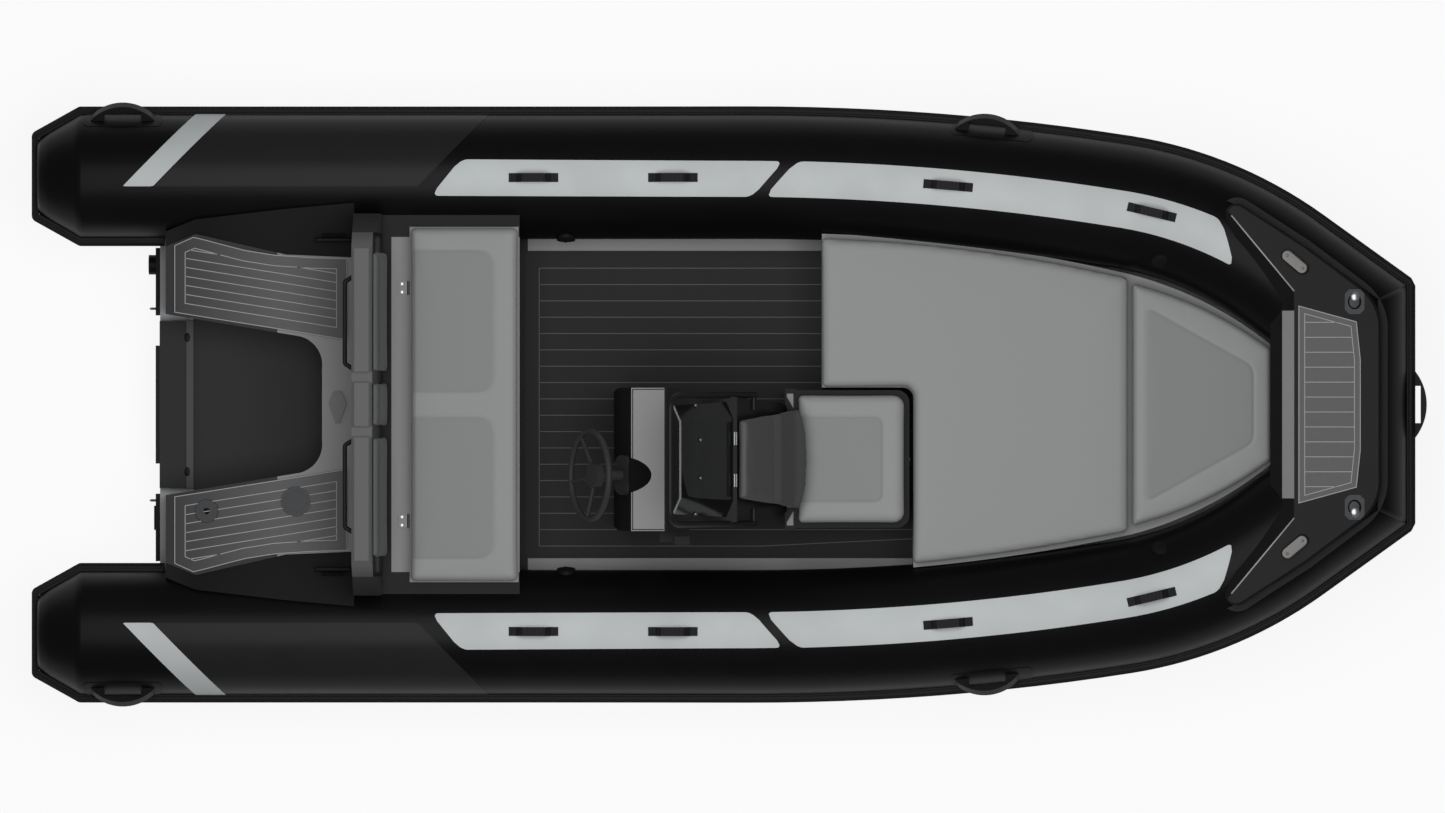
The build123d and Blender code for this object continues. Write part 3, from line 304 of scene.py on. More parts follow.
def coated_fabric(name, base, rough=0.34, shine=0.08):
    """Calendered PVC-coated polyester: a satin film in which the 3 mm threads of the base cloth just show."""
    made, tree, shader, place = material(name)
    cloth = add(tree, "ShaderNodeTexNoise", {"Vector": place, "Scale": per_metre(260), "Detail": 3.0})
    tone = add(tree, "ShaderNodeMix", {"Factor": cloth.outputs["Fac"], "A": base, "B": shade(base, 1.35)},
               data_type="RGBA")
    threads = add(tree, "ShaderNodeTexVoronoi", {"Vector": place, "Scale": per_metre(3)})
    bump = add(tree, "ShaderNodeBump", {"Height": threads.outputs["Distance"], "Strength": 0.05,
                                        "Distance": 0.6 * MM})
    gloss = add(tree, "ShaderNodeMapRange", {"Value": cloth.outputs["Fac"], "To Min": rough - 0.05,
                                             "To Max": rough + 0.06})
    put(tree, shader, {"Base Color": tone.outputs["Result"], "Roughness": gloss.outputs["Result"],
                       "Normal": bump.outputs["Normal"], "Specular IOR Level": shine})
    return made


def extruded_rubber(name, base):
    """Extruded EPDM rubber: a dull skin with fine drawn lines and a dusty bloom."""
    made, tree, shader, place = material(name)
    bloom = add(tree, "ShaderNodeTexNoise", {"Vector": place, "Scale": per_metre(120), "Detail": 5.0})
    dusty = (*[channel * 1.6 + 0.001 for channel in base[:3]], 1.0)
    tone = add(tree, "ShaderNodeMix", {"Factor": bloom.outputs["Fac"], "A": base, "B": dusty},
               data_type="RGBA")
    skin = add(tree, "ShaderNodeTexNoise", {"Vector": place, "Scale": per_metre(2.5), "Detail": 2.0})
    bump = add(tree, "ShaderNodeBump", {"Height": skin.outputs["Fac"], "Strength": 0.12,
                                        "Distance": 0.5 * MM})
    put(tree, shader, {"Base Color": tone.outputs["Result"], "Normal": bump.outputs["Normal"],
                       "Roughness": 0.5, "Specular IOR Level": 0.12})
    return made


def gelcoat(name, base, rough=0.22, zones=(), sides=None):
    """Sprayed polyester gelcoat from a polished mould: glossy, with a faint orange peel of 6 mm waves.

    Zones and sides are other colours, where the mould was masked.
    """
    made, tree, shader, place = material(name)
    cloud = add(tree, "ShaderNodeTexNoise", {"Vector": place, "Scale": per_metre(400), "Detail": 2.0})
    tone = add(tree, "ShaderNodeMix", {"Factor": cloud.outputs["Fac"], "A": base, "B": shade(base, 1.1)},
               data_type="RGBA")
    peel = add(tree, "ShaderNodeTexNoise", {"Vector": place, "Scale": per_metre(6), "Detail": 1.0})
    bump = add(tree, "ShaderNodeBump", {"Height": peel.outputs["Fac"], "Strength": 0.03,
                                        "Distance": 0.6 * MM})
    gloss = add(tree, "ShaderNodeMapRange", {"Value": cloud.outputs["Fac"], "To Min": rough,
                                             "To Max": rough + 0.08})
    put(tree, shader, {"Base Color": masked(tree, place, tone.outputs["Result"], zones, sides),
                       "Roughness": gloss.outputs["Result"], "Normal": bump.outputs["Normal"],
                       "Specular IOR Level": 0.06})
    return made


def powder_coat(name, base):
    """Powder-coated welded aluminium: satin, with the fine pebble of baked powder."""
    made, tree, shader, place = material(name)
    pebble = add(tree, "ShaderNodeTexNoise", {"Vector": place, "Scale": per_metre(1.6), "Detail": 2.0})
    bump = add(tree, "ShaderNodeBump", {"Height": pebble.outputs["Fac"], "Strength": 0.1,
                                        "Distance": 0.4 * MM})
    gloss = add(tree, "ShaderNodeMapRange", {"Value": pebble.outputs["Fac"], "To Min": 0.36, "To Max": 0.5})
    tone = add(tree, "ShaderNodeMix", {"Factor": pebble.outputs["Fac"], "A": base, "B": shade(base, 0.94)},
               data_type="RGBA")
    put(tree, shader, {"Base Color": tone.outputs["Result"], "Roughness": gloss.outputs["Result"],
                       "Normal": bump.outputs["Normal"], "Specular IOR Level": 0.15})
    return made


def marine_vinyl(name, base, inset):
    """Embossed marine vinyl over foam: a leather grain of 2.5 mm pebbles, and sewn panels a shade darker."""
    made, tree, shader, place = material(name)
    sewn = add(tree, "ShaderNodeAttribute", attribute_name="inset").outputs["Fac"]
    tone = add(tree, "ShaderNodeMix", {"Factor": sewn, "A": base, "B": inset}, data_type="RGBA")
    pebbles = add(tree, "ShaderNodeTexVoronoi", {"Vector": place, "Scale": per_metre(2.5)},
                  feature="SMOOTH_F1")
    worn = add(tree, "ShaderNodeTexNoise", {"Vector": place, "Scale": per_metre(400), "Detail": 3.0})
    wear = add(tree, "ShaderNodeMapRange", {"Value": worn.outputs["Fac"], "To Min": 0.985, "To Max": 1.015})
    mixed = add(tree, "ShaderNodeMix", {"Factor": 1.0, "A": tone.outputs["Result"],
                                        "B": wear.outputs["Result"]},
                data_type="RGBA", blend_type="MULTIPLY")
    bump = add(tree, "ShaderNodeBump", {"Height": pebbles.outputs["Distance"], "Strength": 0.14,
                                        "Distance": 0.5 * MM})
    put(tree, shader, {"Base Color": mixed.outputs["Result"], "Normal": bump.outputs["Normal"],
                       "Roughness": 0.58, "Sheen Weight": 0.08})
    return made


def brushed_foam(name, base, fade=None):
    """Closed-cell EVA foam, brushed along the boat: a dry matt nap with long 2 mm scratches.

    A fade darkens the foam towards its aft end, a painted shade.
    """
    made, tree, shader, place = material(name)
    stretch = add(tree, "ShaderNodeMapping", {"Vector": place, "Scale": (0.06, 1.0, 1.0)})
    nap = add(tree, "ShaderNodeTexNoise", {"Vector": stretch.outputs["Vector"], "Scale": per_metre(2),
                                           "Detail": 3.0})
    tone = add(tree, "ShaderNodeMix", {"Factor": nap.outputs["Fac"], "A": shade(base, 0.85),
                                       "B": shade(base, 1.15)}, data_type="RGBA")
    bump = add(tree, "ShaderNodeBump", {"Height": nap.outputs["Fac"], "Strength": 0.2, "Distance": 0.5 * MM})
    if fade:
        aft, fore, darkest = fade
        # painted shade, darker towards the aft end
        station = add(tree, "ShaderNodeSeparateXYZ", {"Vector": place}).outputs["X"]
        aft_shade = add(tree, "ShaderNodeMapRange", {"Value": station, "From Min": aft, "From Max": fore,
                                                   "To Min": darkest, "To Max": 1.0})
        tone = add(tree, "ShaderNodeMix", {"Factor": 1.0, "A": tone.outputs["Result"],
                                           "B": aft_shade.outputs["Result"]},
                   data_type="RGBA", blend_type="MULTIPLY")
    put(tree, shader, {"Base Color": tone.outputs["Result"], "Normal": bump.outputs["Normal"],
                       "Roughness": 0.85, "Specular IOR Level": 0.25})
    return made


def stainless_steel(name, tint):
    """Investment-cast stainless steel, polished: bright, with soft buffing lines."""
    made, tree, shader, place = material(name)
    buff = add(tree, "ShaderNodeTexNoise", {"Vector": place, "Scale": per_metre(4), "Detail": 3.0})
    gloss = add(tree, "ShaderNodeMapRange", {"Value": buff.outputs["Fac"], "To Min": 0.24, "To Max": 0.4})
    tone = add(tree, "ShaderNodeMix", {"Factor": buff.outputs["Fac"], "A": tint, "B": shade(tint, 0.75)},
               data_type="RGBA")
    put(tree, shader, {"Base Color": tone.outputs["Result"], "Roughness": gloss.outputs["Result"],
                       "Metallic": 1.0})
    return made


def moulded_plastic(name, base, rough=0.45, zones=()):
    """Injection-moulded ABS: an even spark-eroded grain of 1.2 mm and a dull gloss.

    Zones are other colours, where a second moulding starts.
    """
    made, tree, shader, place = material(name)
    grain = add(tree, "ShaderNodeTexNoise", {"Vector": place, "Scale": per_metre(1.2), "Detail": 2.0})
    tone = add(tree, "ShaderNodeMix", {"Factor": grain.outputs["Fac"], "A": base, "B": shade(base, 1.3)},
               data_type="RGBA")
    bump = add(tree, "ShaderNodeBump", {"Height": grain.outputs["Fac"], "Strength": 0.1,
                                        "Distance": 0.3 * MM})
    gloss = add(tree, "ShaderNodeMapRange", {"Value": grain.outputs["Fac"], "To Min": rough - 0.06,
                                             "To Max": rough + 0.08})
    put(tree, shader, {"Base Color": masked(tree, place, tone.outputs["Result"], zones),
                       "Roughness": gloss.outputs["Result"], "Normal": bump.outputs["Normal"],
                       "Specular IOR Level": 0.1})
    return made


def smoked_acrylic(name):
    """Tinted cast acrylic sheet: deep smoke grey, polished, with the faint haze of wiping."""
    made, tree, shader, place = material(name)
    wiped = add(tree, "ShaderNodeTexNoise", {"Vector": place, "Scale": per_metre(60), "Detail": 4.0})
    gloss = add(tree, "ShaderNodeMapRange", {"Value": wiped.outputs["Fac"], "To Min": 0.04, "To Max": 0.1})
    tone = add(tree, "ShaderNodeMix", {"Factor": wiped.outputs["Fac"], "A": linear("#1c1c1d"),
                                       "B": linear("#222223")}, data_type="RGBA")
    put(tree, shader, {"Base Color": tone.outputs["Result"], "Roughness": gloss.outputs["Result"],
                       "IOR": 1.49, "Transmission Weight": 0.55})
    return made


def woven_webbing(name, base):
    """Woven nylon webbing: a 2.5 mm rib across the strap, matt, with the sheen of filament yarn."""
    made, tree, shader, place = material(name)
    ribs = add(tree, "ShaderNodeTexWave", {"Vector": place, "Scale": per_metre(2.5) / WAVES,
                                           "Distortion": 0.6})
    tone = add(tree, "ShaderNodeMix", {"Factor": ribs.outputs["Fac"], "A": shade(base, 0.7),
                                       "B": shade(base, 1.5)}, data_type="RGBA")
    bump = add(tree, "ShaderNodeBump", {"Height": ribs.outputs["Fac"], "Strength": 0.3, "Distance": 0.6 * MM})
    put(tree, shader, {"Base Color": tone.outputs["Result"], "Normal": bump.outputs["Normal"],
                       "Roughness": 0.6, "Specular IOR Level": 0.15, "Sheen Weight": 0.03})
    return made


WAVES = 20               # by which a wave texture's scale is divided
FINISH = {}

# Stations and widths where a moulding changes its colour
DASH_AFT, DASH_FORE = -0.364, -0.231
HELM_EDGE = DASH_AFT - 0.010
PLATFORM_EDGE, TRANSOM_RIB = -1.800, -2.179
BULKHEAD_SLOPE, BULKHEAD_END = -1.402, 0.692
FLOOR_AFT, BENCH_STRIP, BENCH_SIDE, SEAT_EDGE = -0.79, -1.336, 0.677, 0.296
STERN_FADE = (-2.22, -1.75, 0.42)   # aft and fore station of the painted shade on the stern pads, share of the tone at the aft one


def make_finishes():
    """Every material of the boat, by a plain name."""
    c, _ = settings()
    FINISH.update({
        "tube": coated_fabric("coated_fabric_black", tuple(c.tube)),
        "panel": coated_fabric("coated_fabric_dark_grey", tuple(c.panel)),
        "patch": coated_fabric("coated_fabric_light_grey", tuple(c.patch), rough=0.5, shine=0.2),
        "strake": extruded_rubber("extruded_rubber", tuple(c.strake)),
        "hull": powder_coat("powder_coated_aluminium", tuple(c.hull)),
        "rail": powder_coat("powder_coated_tube", tuple(c.plastic)),
        "deck": gelcoat("gelcoat_light_grey", tuple(c.deck)),
        "floor": gelcoat("gelcoat_floor", tuple(c.black), zones=[(FLOOR_AFT, tuple(c.deck))]),
        "bench": gelcoat("gelcoat_bench", tuple(c.black), zones=[(BENCH_STRIP, tuple(c.deck))],
                         sides=(BENCH_SIDE, tuple(c.black))),
        "seat": gelcoat("gelcoat_seat", tuple(c.deck), zones=[(SEAT_EDGE, tuple(c.black))]),
        # painted highlight on the edges of the bow step
        "edge": gelcoat("gelcoat_painted_highlight", tuple(c.edge)),
        "platform": gelcoat("gelcoat_platform", tuple(c.well), zones=[(PLATFORM_EDGE, tuple(c.deck))]),
        "transom": gelcoat("gelcoat_transom", tuple(c.well), 0.45, [(TRANSOM_RIB, linear("#4c4c4c"))]),
        "beam": gelcoat("gelcoat_mid_grey", tuple(c.beam), zones=[(BULKHEAD_SLOPE, tuple(c.black))],
                        sides=(BULKHEAD_END, tuple(c.beam_end))),
        "wing": gelcoat("gelcoat_wing", tuple(c.wing)),
        "black": gelcoat("gelcoat_black", tuple(c.black)),
        "well": gelcoat("gelcoat_dark_grey", tuple(c.well), rough=0.45),
        "console": gelcoat("gelcoat_two_tone", tuple(c.black),
                           zones=[(DASH_AFT, tuple(c.deck)), (DASH_FORE, tuple(c.black))]),
        "cushion": marine_vinyl("marine_vinyl_grey", tuple(c.cushion), tuple(c.inset)),
        "hatch": marine_vinyl("marine_vinyl_dark", tuple(c.hatch), tuple(c.hatch)),
        "back": marine_vinyl("marine_vinyl_charcoal", tuple(c.back), tuple(c.back)),
        "deck_foam": brushed_foam("brushed_foam_black", tuple(c.deck_foam)),
        # with a painted shade towards the aft end of the stern pads
        "stern_foam": brushed_foam("brushed_foam_stern", tuple(c.stern_foam), STERN_FADE),
        "step_foam": brushed_foam("brushed_foam_bow", tuple(c.stern_foam)),
        "groove": brushed_foam("foam_groove_pale", tuple(c.groove)),
        "deck_groove": brushed_foam("foam_groove_deck", tuple(c.deck_groove)),
        "steel": stainless_steel("polished_stainless", linear("#66686a")),
        "dull_steel": stainless_steel("dull_stainless", linear("#2c2d2e")),
        "lamp": stainless_steel("lamp_stainless", linear("#4f4e4d")),
        "chrome": stainless_steel("chromed_brass", linear("#a6a8aa")),
        "plastic": moulded_plastic("moulded_plastic_black", tuple(c.plastic)),
        "wheel": moulded_plastic("moulded_grip_dark_grey", tuple(c.wheel)),
        "helm": moulded_plastic("moulded_helm_two_tone", tuple(c.wheel),
                                zones=[(HELM_EDGE, linear("#0e0e0e"))]),
        "fitting": moulded_plastic("moulded_plastic_grey", tuple(c.fitting)),
        "acrylic": smoked_acrylic("smoked_acrylic"),
        "webbing": woven_webbing("woven_webbing_black", tuple(c.plastic)),
    })


NODE_FINISH = {
    "hull": "hull", "engine_pad": "plastic", "deck": "floor", "stern_platform": "platform",
    "stern_wings": "wing", "engine_well": "well", "transom": "transom", "stern_pads": "stern_foam",
    "pole_socket": "dull_steel", "fuel_filler": "dull_steel", "tow_fitting": "fitting",
    "transom_eyes": "steel", "deck_drain": "plastic", "sounder_bracket": "plastic",
    "stern_bumpers": "plastic", "bulkhead": "beam", "bench_backrest": "back", "bulkhead_handles": "rail",
    "bench_base": "bench", "bench_lid": "deck", "bench_cushion": "cushion", "bench_hinges": "lamp",
    "bow_base": "deck", "sun_pad": "cushion", "bow_cushion": "cushion", "bow_step": "black",
    "bow_step_pad": "step_foam", "bow_cleats": "dull_steel", "nav_lights": "lamp", "stern_cleats": "plastic",
    "console": "console", "helm_boss": "helm", "steering_wheel": "wheel", "windscreen": "acrylic",
    "windscreen_rail": "rail", "backrest_hatch": "hatch", "hatch_hinges": "steel",
    "front_seat_base": "seat", "front_seat_cushion": "cushion", "engine_control": "plastic",
    "deck_pad": "deck_foam", "tube_port": "tube", "tube_starboard": "tube", "tube_bow": "tube",
    "rub_strake_port": "strake", "rub_strake_starboard": "strake", "rub_strake_bow": "strake",
    "tube_straps_port": "webbing", "tube_straps_starboard": "webbing", "bow_handle": "strake",
    "carry_handles": "strake", "air_valves": "plastic",
}
SMOOTH_ANGLE = radians(34)
SAME_PLACE = 1e-5        # vertices nearer than this are one


class BOAT_OT_frame_finish(bpy.types.Operator):
    """Give each rigid piece of the frame its material and soft shading across its fine facets."""

    bl_idname = "boat.frame_finish"
    bl_label = "Frame finish"

    def execute(self, context):
        make_finishes()
        for name, obj in NODES.items():
            obj.data.materials.clear()
            obj.data.materials.append(FINISH[NODE_FINISH[name]])
            obj.data.polygons.foreach_set("use_smooth", np.full(len(obj.data.polygons), True))
            obj.modifiers.new("Weld", "WELD").merge_threshold = SAME_PLACE
            crease(obj)
        return {"FINISHED"}


# Inflated tubes

NOSE_LONG = 0.32         # length of the side tube's skin that runs straight on to the mitre
BODY_ROWS, NOSE_ROWS, BOW_ROWS = 360, 24, 40
CONE_SOFT = 0.012        # soft edge round the end of the cone


def skin(rings):
    """A closed skin over rows of rings."""
    rows, cols = rings.shape[:2]
    quads = grid(rows, cols, closed_cols=True).tolist()
    return rings.reshape(-1, 3), flipped(quads) + ring_caps(rows, cols)


def side_tube():
    """The port tube: rings of radius R along its line, a cone that closes at the stern, a mitred bow end.

    Forward of the last bend each line of the skin runs straight on to the mitre plane.
    """
    _, sizes = settings()
    angle = np.linspace(0, 2 * pi, sizes.rings, endpoint=False)
    straight = at_station(BOW_AXIS) - NOSE_LONG
    body = on_tube(np.linspace(0, straight, BODY_ROWS)[:, None], angle[None, :])
    last, head = body[-1], HEADING[-1]
    reach = ((axis_at(BOW_AXIS) - last) @ MITRE) / (head @ MITRE)
    nose = last[None] + np.linspace(0, 1, NOSE_ROWS)[1:, None, None] * (reach[:, None] * head)[None]
    ring = on_tube(np.zeros_like(angle), angle) - [CONE_START, AXIS_Y, AXIS_Z]
    end = CONE_END_R
    end_stations = [0.0, 0.0, 0.0, CONE_SOFT / 2, CONE_SOFT]
    end_radii = [0.001, 0.5 * end, end - CONE_SOFT, end - CONE_SOFT * 0.3, end + CONE_SOFT * 0.3]
    slope = (TUBE_R - end) / (CONE_START - CONE_END)
    side_stations = np.array([0.05, 0.09, 0.13, CONE_START - CONE_END - 0.02])
    stations = np.concatenate([end_stations, side_stations])
    radii = np.concatenate([end_radii, end + slope * side_stations])
    cone = ring[None] * (radii / TUBE_R)[:, None, None] + [0, AXIS_Y, AXIS_Z]
    cone[..., 0] = (CONE_END + stations)[:, None]
    return skin(np.concatenate([cone, body, nose]))


def bow_tube():
    """The bow tube: one ring carried across the bow between the two mitre planes."""
    _, sizes = settings()
    angle = np.linspace(0, 2 * pi, sizes.rings, endpoint=False)[:, None]
    corner = axis_at(BOW_AXIS)
    ahead = np.array([cos(SHEER), 0, sin(SHEER)])
    over = np.array([-sin(SHEER), 0, cos(SHEER)])
    ring = TUBE_R * (np.cos(angle) * ahead + np.sin(angle) * over) + corner * [1, 0, 1]
    reach = ((corner - ring) @ MITRE) / MITRE[1]
    share = np.linspace(1, -1, BOW_ROWS)
    rings = np.repeat(ring[None], len(share), 0)
    rings[..., 1] = share[:, None] * reach[None]
    return skin(rings)


class BOAT_OT_tubes(bpy.types.Operator):
    """Make the smooth inflated skins of the side tubes and the bow tube."""

    bl_idname = "boat.tubes"
    bl_label = "Tubes"

    def execute(self, context):
        finish = FINISH["tube"]
        points, faces = side_tube()
        port = piece("tube_skin_port", points, faces, finish, "tube_fabric")
        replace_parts(port, "tube_port")
        starboard = piece("tube_skin_starboard", mirrored(points), flipped(faces), finish, "tube_fabric")
        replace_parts(starboard, "tube_starboard")
        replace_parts(piece("tube_skin_bow", *bow_tube(), finish, "tube_fabric"), "tube_bow")
        for obj in (port, starboard):
            crease(obj)
        return {"FINISHED"}


# What is glued to the tubes

def tube_sheet(start, end, low, high, lift, slant=(0.0, 0.0), corner=0.03, rows=180, cols=20):
    """A sheet glued to the port tube between two stations and two widths off its crest.

    Along runs from start to end plus a slant times the width, which goes from its first value to its second;
    across runs from low to high, measured in plan outboard of the axis; both ends are drawn in on a quarter
    circle, which rounds the corners.
    """
    u = np.linspace(0, 1, rows)[:, None]
    v = np.linspace(0, 1, cols)[None, :]
    span = end - start
    from_end = np.minimum(u, 1 - u) * span
    arc = np.sqrt(np.maximum(corner ** 2 - (corner - from_end) ** 2, 0))
    shrink = np.where(from_end < corner, corner - arc, 0)
    low_u, high_u = low[0] + (low[1] - low[0]) * u, high[0] + (high[1] - high[0]) * u
    width = low_u + shrink + (high_u - low_u - 2 * shrink) * v
    along = start + span * u + (slant[0] + (slant[1] - slant[0]) * u) * (width - (low_u + high_u) / 2)
    angle = np.arccos(np.clip(width / (TUBE_R + lift), -1, 1))
    return on_tube(along, angle, lift), grid(rows, cols)


def glue(name, sheet, finish, slot):
    """The port sheet and its starboard twin as thin pieces that bed into the tube."""
    _, sizes = settings()
    points, faces = sheet
    for side, p, f in (("port", points, flipped(faces)), ("starboard", mirrored(points), faces)):
        obj = piece(f"{name}_{side}", p, f, finish, slot)
        solid = obj.modifiers.new("Thickness", "SOLIDIFY")
        solid.thickness, solid.offset = 2 * sizes.patch_lift, -1
        crease(obj)


PATCHES = [  # name, x at start and end, inner edge at start and end, outer edge, slant of the ends
    ("wear_patch_aft", (-1.116, 0.205), (-0.083, -0.088), (0.064, 0.056), (0.81, 0.87)),
    ("wear_patch_fore", (0.255, 2.062), (-0.088, -0.098), (0.057, 0.052), (0.88, -0.90)),
]
STRIPE_FROM, STRIPE_SLANT, STRIPE_WIDE = -2.420, 0.97, 0.122
PANEL_END, PANEL_LOW, PANEL_HIGH, PANEL_GAP = -1.085, -0.045, 0.2525, 0.004
SHARP = 0.002            # corners of the stripe and the panel
HANDLE_PADS = [  # x range, width off the axis
    ((-2.588, -2.264), (0.200, 0.249)),
    ((0.915, 1.240), (0.200, 0.249)),
]
PAD_CORNER = 0.024
STRIPE_LIFT, PANEL_LIFT, PAD_LIFT = 1.2, 0.8, 1.6   # shares of the patch lift


class BOAT_OT_tube_trim(bpy.types.Operator):
    """Glue the stern panels, slanted stripes, wear patches and handle base pads to the tubes."""

    bl_idname = "boat.tube_trim"
    bl_label = "Tube trim"

    def execute(self, context):
        _, sizes = settings()
        lift = sizes.patch_lift
        for name, places, low, high, slant in PATCHES:
            sheet = tube_sheet(*at_station(places), low, high, lift, slant)
            glue(name, sheet, FINISH["patch"], "tube_fabric")
        low, high, slant = (PANEL_LOW, PANEL_LOW), (PANEL_HIGH, PANEL_HIGH), (STRIPE_SLANT, STRIPE_SLANT)
        start = at_station(STRIPE_FROM) + STRIPE_SLANT * (PANEL_HIGH - PANEL_LOW) / 2
        end = start + STRIPE_WIDE
        stripe = tube_sheet(start, end, low, high, lift * STRIPE_LIFT, slant, SHARP, rows=12, cols=64)
        glue("slant_stripe", stripe, FINISH["patch"], "tube_fabric")
        panel = tube_sheet(end + PANEL_GAP, at_station(PANEL_END), low, high, lift * PANEL_LIFT, slant, SHARP,
                           rows=60, cols=64)
        glue("stern_panel", panel, FINISH["panel"], "tube_fabric")
        for number, (places, (low, high)) in enumerate(HANDLE_PADS, 1):
            pad = tube_sheet(*at_station(places), (low, low), (high, high), lift * PAD_LIFT,
                             corner=PAD_CORNER)
            glue(f"handle_pad_{number}", pad, FINISH["strake"], "strake_rubber")
        return {"FINISHED"}


# Cushions

FRAMES, PRESSURE, QUALITY = 20, 4, 4       # of the cloth simulation
DRAWN_IN = np.array([0.5, 0.5, 0.6])       # shares of the swell that a solid is drawn in by
SEAM_WIDE = 0.006


def vectors(mesh, name="co"):
    """The places of a mesh's vertices, or another vector of each."""
    values = np.zeros(len(mesh.vertices) * 3)
    mesh.vertices.foreach_get(name, values)
    return values.reshape(-1, 3)


def move_to(mesh, points):
    """Set the places of a mesh's vertices."""
    mesh.vertices.foreach_set("co", points.astype(np.float32).ravel())


def copied(node, name, inset):
    """A merged copy of a CAD solid, drawn in by inset towards its middle on each axis."""
    source = NODES[node].data
    points = vectors(source)
    low, high = points.min(0), points.max(0)
    middle, half = (low + high) / 2, (high - low) / 2
    mesh = source.copy()
    mesh.name = name
    move_to(mesh, middle + (points - middle) * (1 - inset / half))
    shell = bmesh.new()
    shell.from_mesh(mesh)
    bmesh.ops.remove_doubles(shell, verts=shell.verts, dist=SAME_PLACE)
    shell.to_mesh(mesh)
    shell.free()
    obj = bpy.data.objects.new(name, mesh)
    bpy.context.scene.collection.objects.link(obj)
    return obj


def applied(obj):
    """The evaluated mesh of an object in place of its own, with its modifiers used up."""
    graph = bpy.context.evaluated_depsgraph_get()
    mesh = bpy.data.meshes.new_from_object(obj.evaluated_get(graph), depsgraph=graph)
    obj.modifiers.clear()
    obj.data = mesh


def blown_up(obj, swell):
    """Press a shell outwards by a short cloth simulation; no point moves more than the swell."""
    before = vectors(obj.data)
    cloth = obj.modifiers.new("Stuffing", "CLOTH")
    cloth.settings.use_pressure = True
    cloth.settings.uniform_pressure_force = PRESSURE
    cloth.settings.effector_weights.gravity = 0
    cloth.settings.quality = QUALITY
    cloth.point_cache.frame_start, cloth.point_cache.frame_end = 1, FRAMES
    for number in range(1, FRAMES + 1):
        bpy.context.scene.frame_set(number)
    applied(obj)
    move = vectors(obj.data) - before
    far = np.linalg.norm(move, axis=1, keepdims=True)
    move *= np.minimum(1, swell / np.maximum(far, 1e-9))
    move_to(obj.data, before + move)
    bpy.context.scene.frame_set(1)


def stuffed(node, name, voxel, finish, body):
    """A cushion in place of its CAD solid, which is drawn in, remeshed and blown up.
    """
    _, sizes = settings()
    obj = copied(node, name, DRAWN_IN * sizes.swell)
    remesh = obj.modifiers.new("Remesh", "REMESH")
    remesh.mode, remesh.voxel_size = "VOXEL", voxel
    applied(obj)
    blown_up(obj, sizes.swell)
    smooth = obj.modifiers.new("Subdivide", "SUBSURF")
    smooth.levels = smooth.render_levels = 1
    applied(obj)
    obj.data.polygons.foreach_set("use_smooth", np.full(len(obj.data.polygons), True))
    obj.data.materials.clear()
    obj.data.materials.append(finish)
    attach(obj, body)
    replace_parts(obj, node)
    return obj


def rounded(corners, r, steps=6):
    """A closed plan outline with each corner turned on a radius, by a quadratic curve across it."""
    p = np.asarray(corners, float)
    back, ahead = unit(np.roll(p, 1, 0) - p), unit(np.roll(p, -1, 0) - p)
    t = np.linspace(0, 1, steps)[None, :, None]
    a, b = (p + back * r)[:, None], (p + ahead * r)[:, None]
    return ((1 - t) ** 2 * a + 2 * t * (1 - t) * p[:, None] + t ** 2 * b).reshape(-1, 2)


def outline_distance(points, outline):
    """Signed distance of plan points from a closed outline, positive inside."""
    a, b = outline, np.roll(outline, -1, 0)
    edge = b - a
    rel = points[:, None] - a[None]
    t = np.clip((rel * edge).sum(-1) / (edge ** 2).sum(-1), 0, 1)
    far = np.linalg.norm(rel - t[..., None] * edge, axis=-1).min(1)
    crosses = (a[None, :, 1] > points[:, None, 1]) != (b[None, :, 1] > points[:, None, 1])
    rise = np.where(edge[:, 1] == 0, 1e-12, edge[:, 1])
    reach = a[None, :, 0] + rel[..., 1] / rise * edge[:, 0]
    inside = (crosses & (points[:, None, 0] < reach)).sum(1) % 2 == 1
    return np.where(inside, far, -far)


def sew(obj, outlines):
    """Press sewn seams into the top of a cushion along plan outlines, and mark what lies inside them.

    With d in widths of a seam, the depth falls off as exp(-d^2) and the mark rises from 0 to 1 over a width.
    Both fade out where the cover turns from facing up, between normals with a z of 0.9 and 0.4.
    """
    _, sizes = settings()
    points = vectors(obj.data)
    facing = np.clip(vectors(obj.data, "normal")[:, 2] * 2 - 0.8, 0, 1)
    mark = np.zeros(len(points))
    for outline in outlines:
        d = outline_distance(points[:, :2], outline) / SEAM_WIDE
        points[:, 2] -= sizes.seam_depth * np.exp(-d ** 2) * facing
        mark = np.maximum(mark, np.clip(d + 0.5, 0, 1) * facing)
    move_to(obj.data, points)
    layer = obj.data.attributes.new("inset", "FLOAT", "POINT")
    layer.data.foreach_set("value", mark.astype(np.float32))
    obj.data.update()


def rectangle(x, y):
    """Four corners of a plan rectangle."""
    return [(x[0], y[0]), (x[1], y[0]), (x[1], y[1]), (x[0], y[1])]


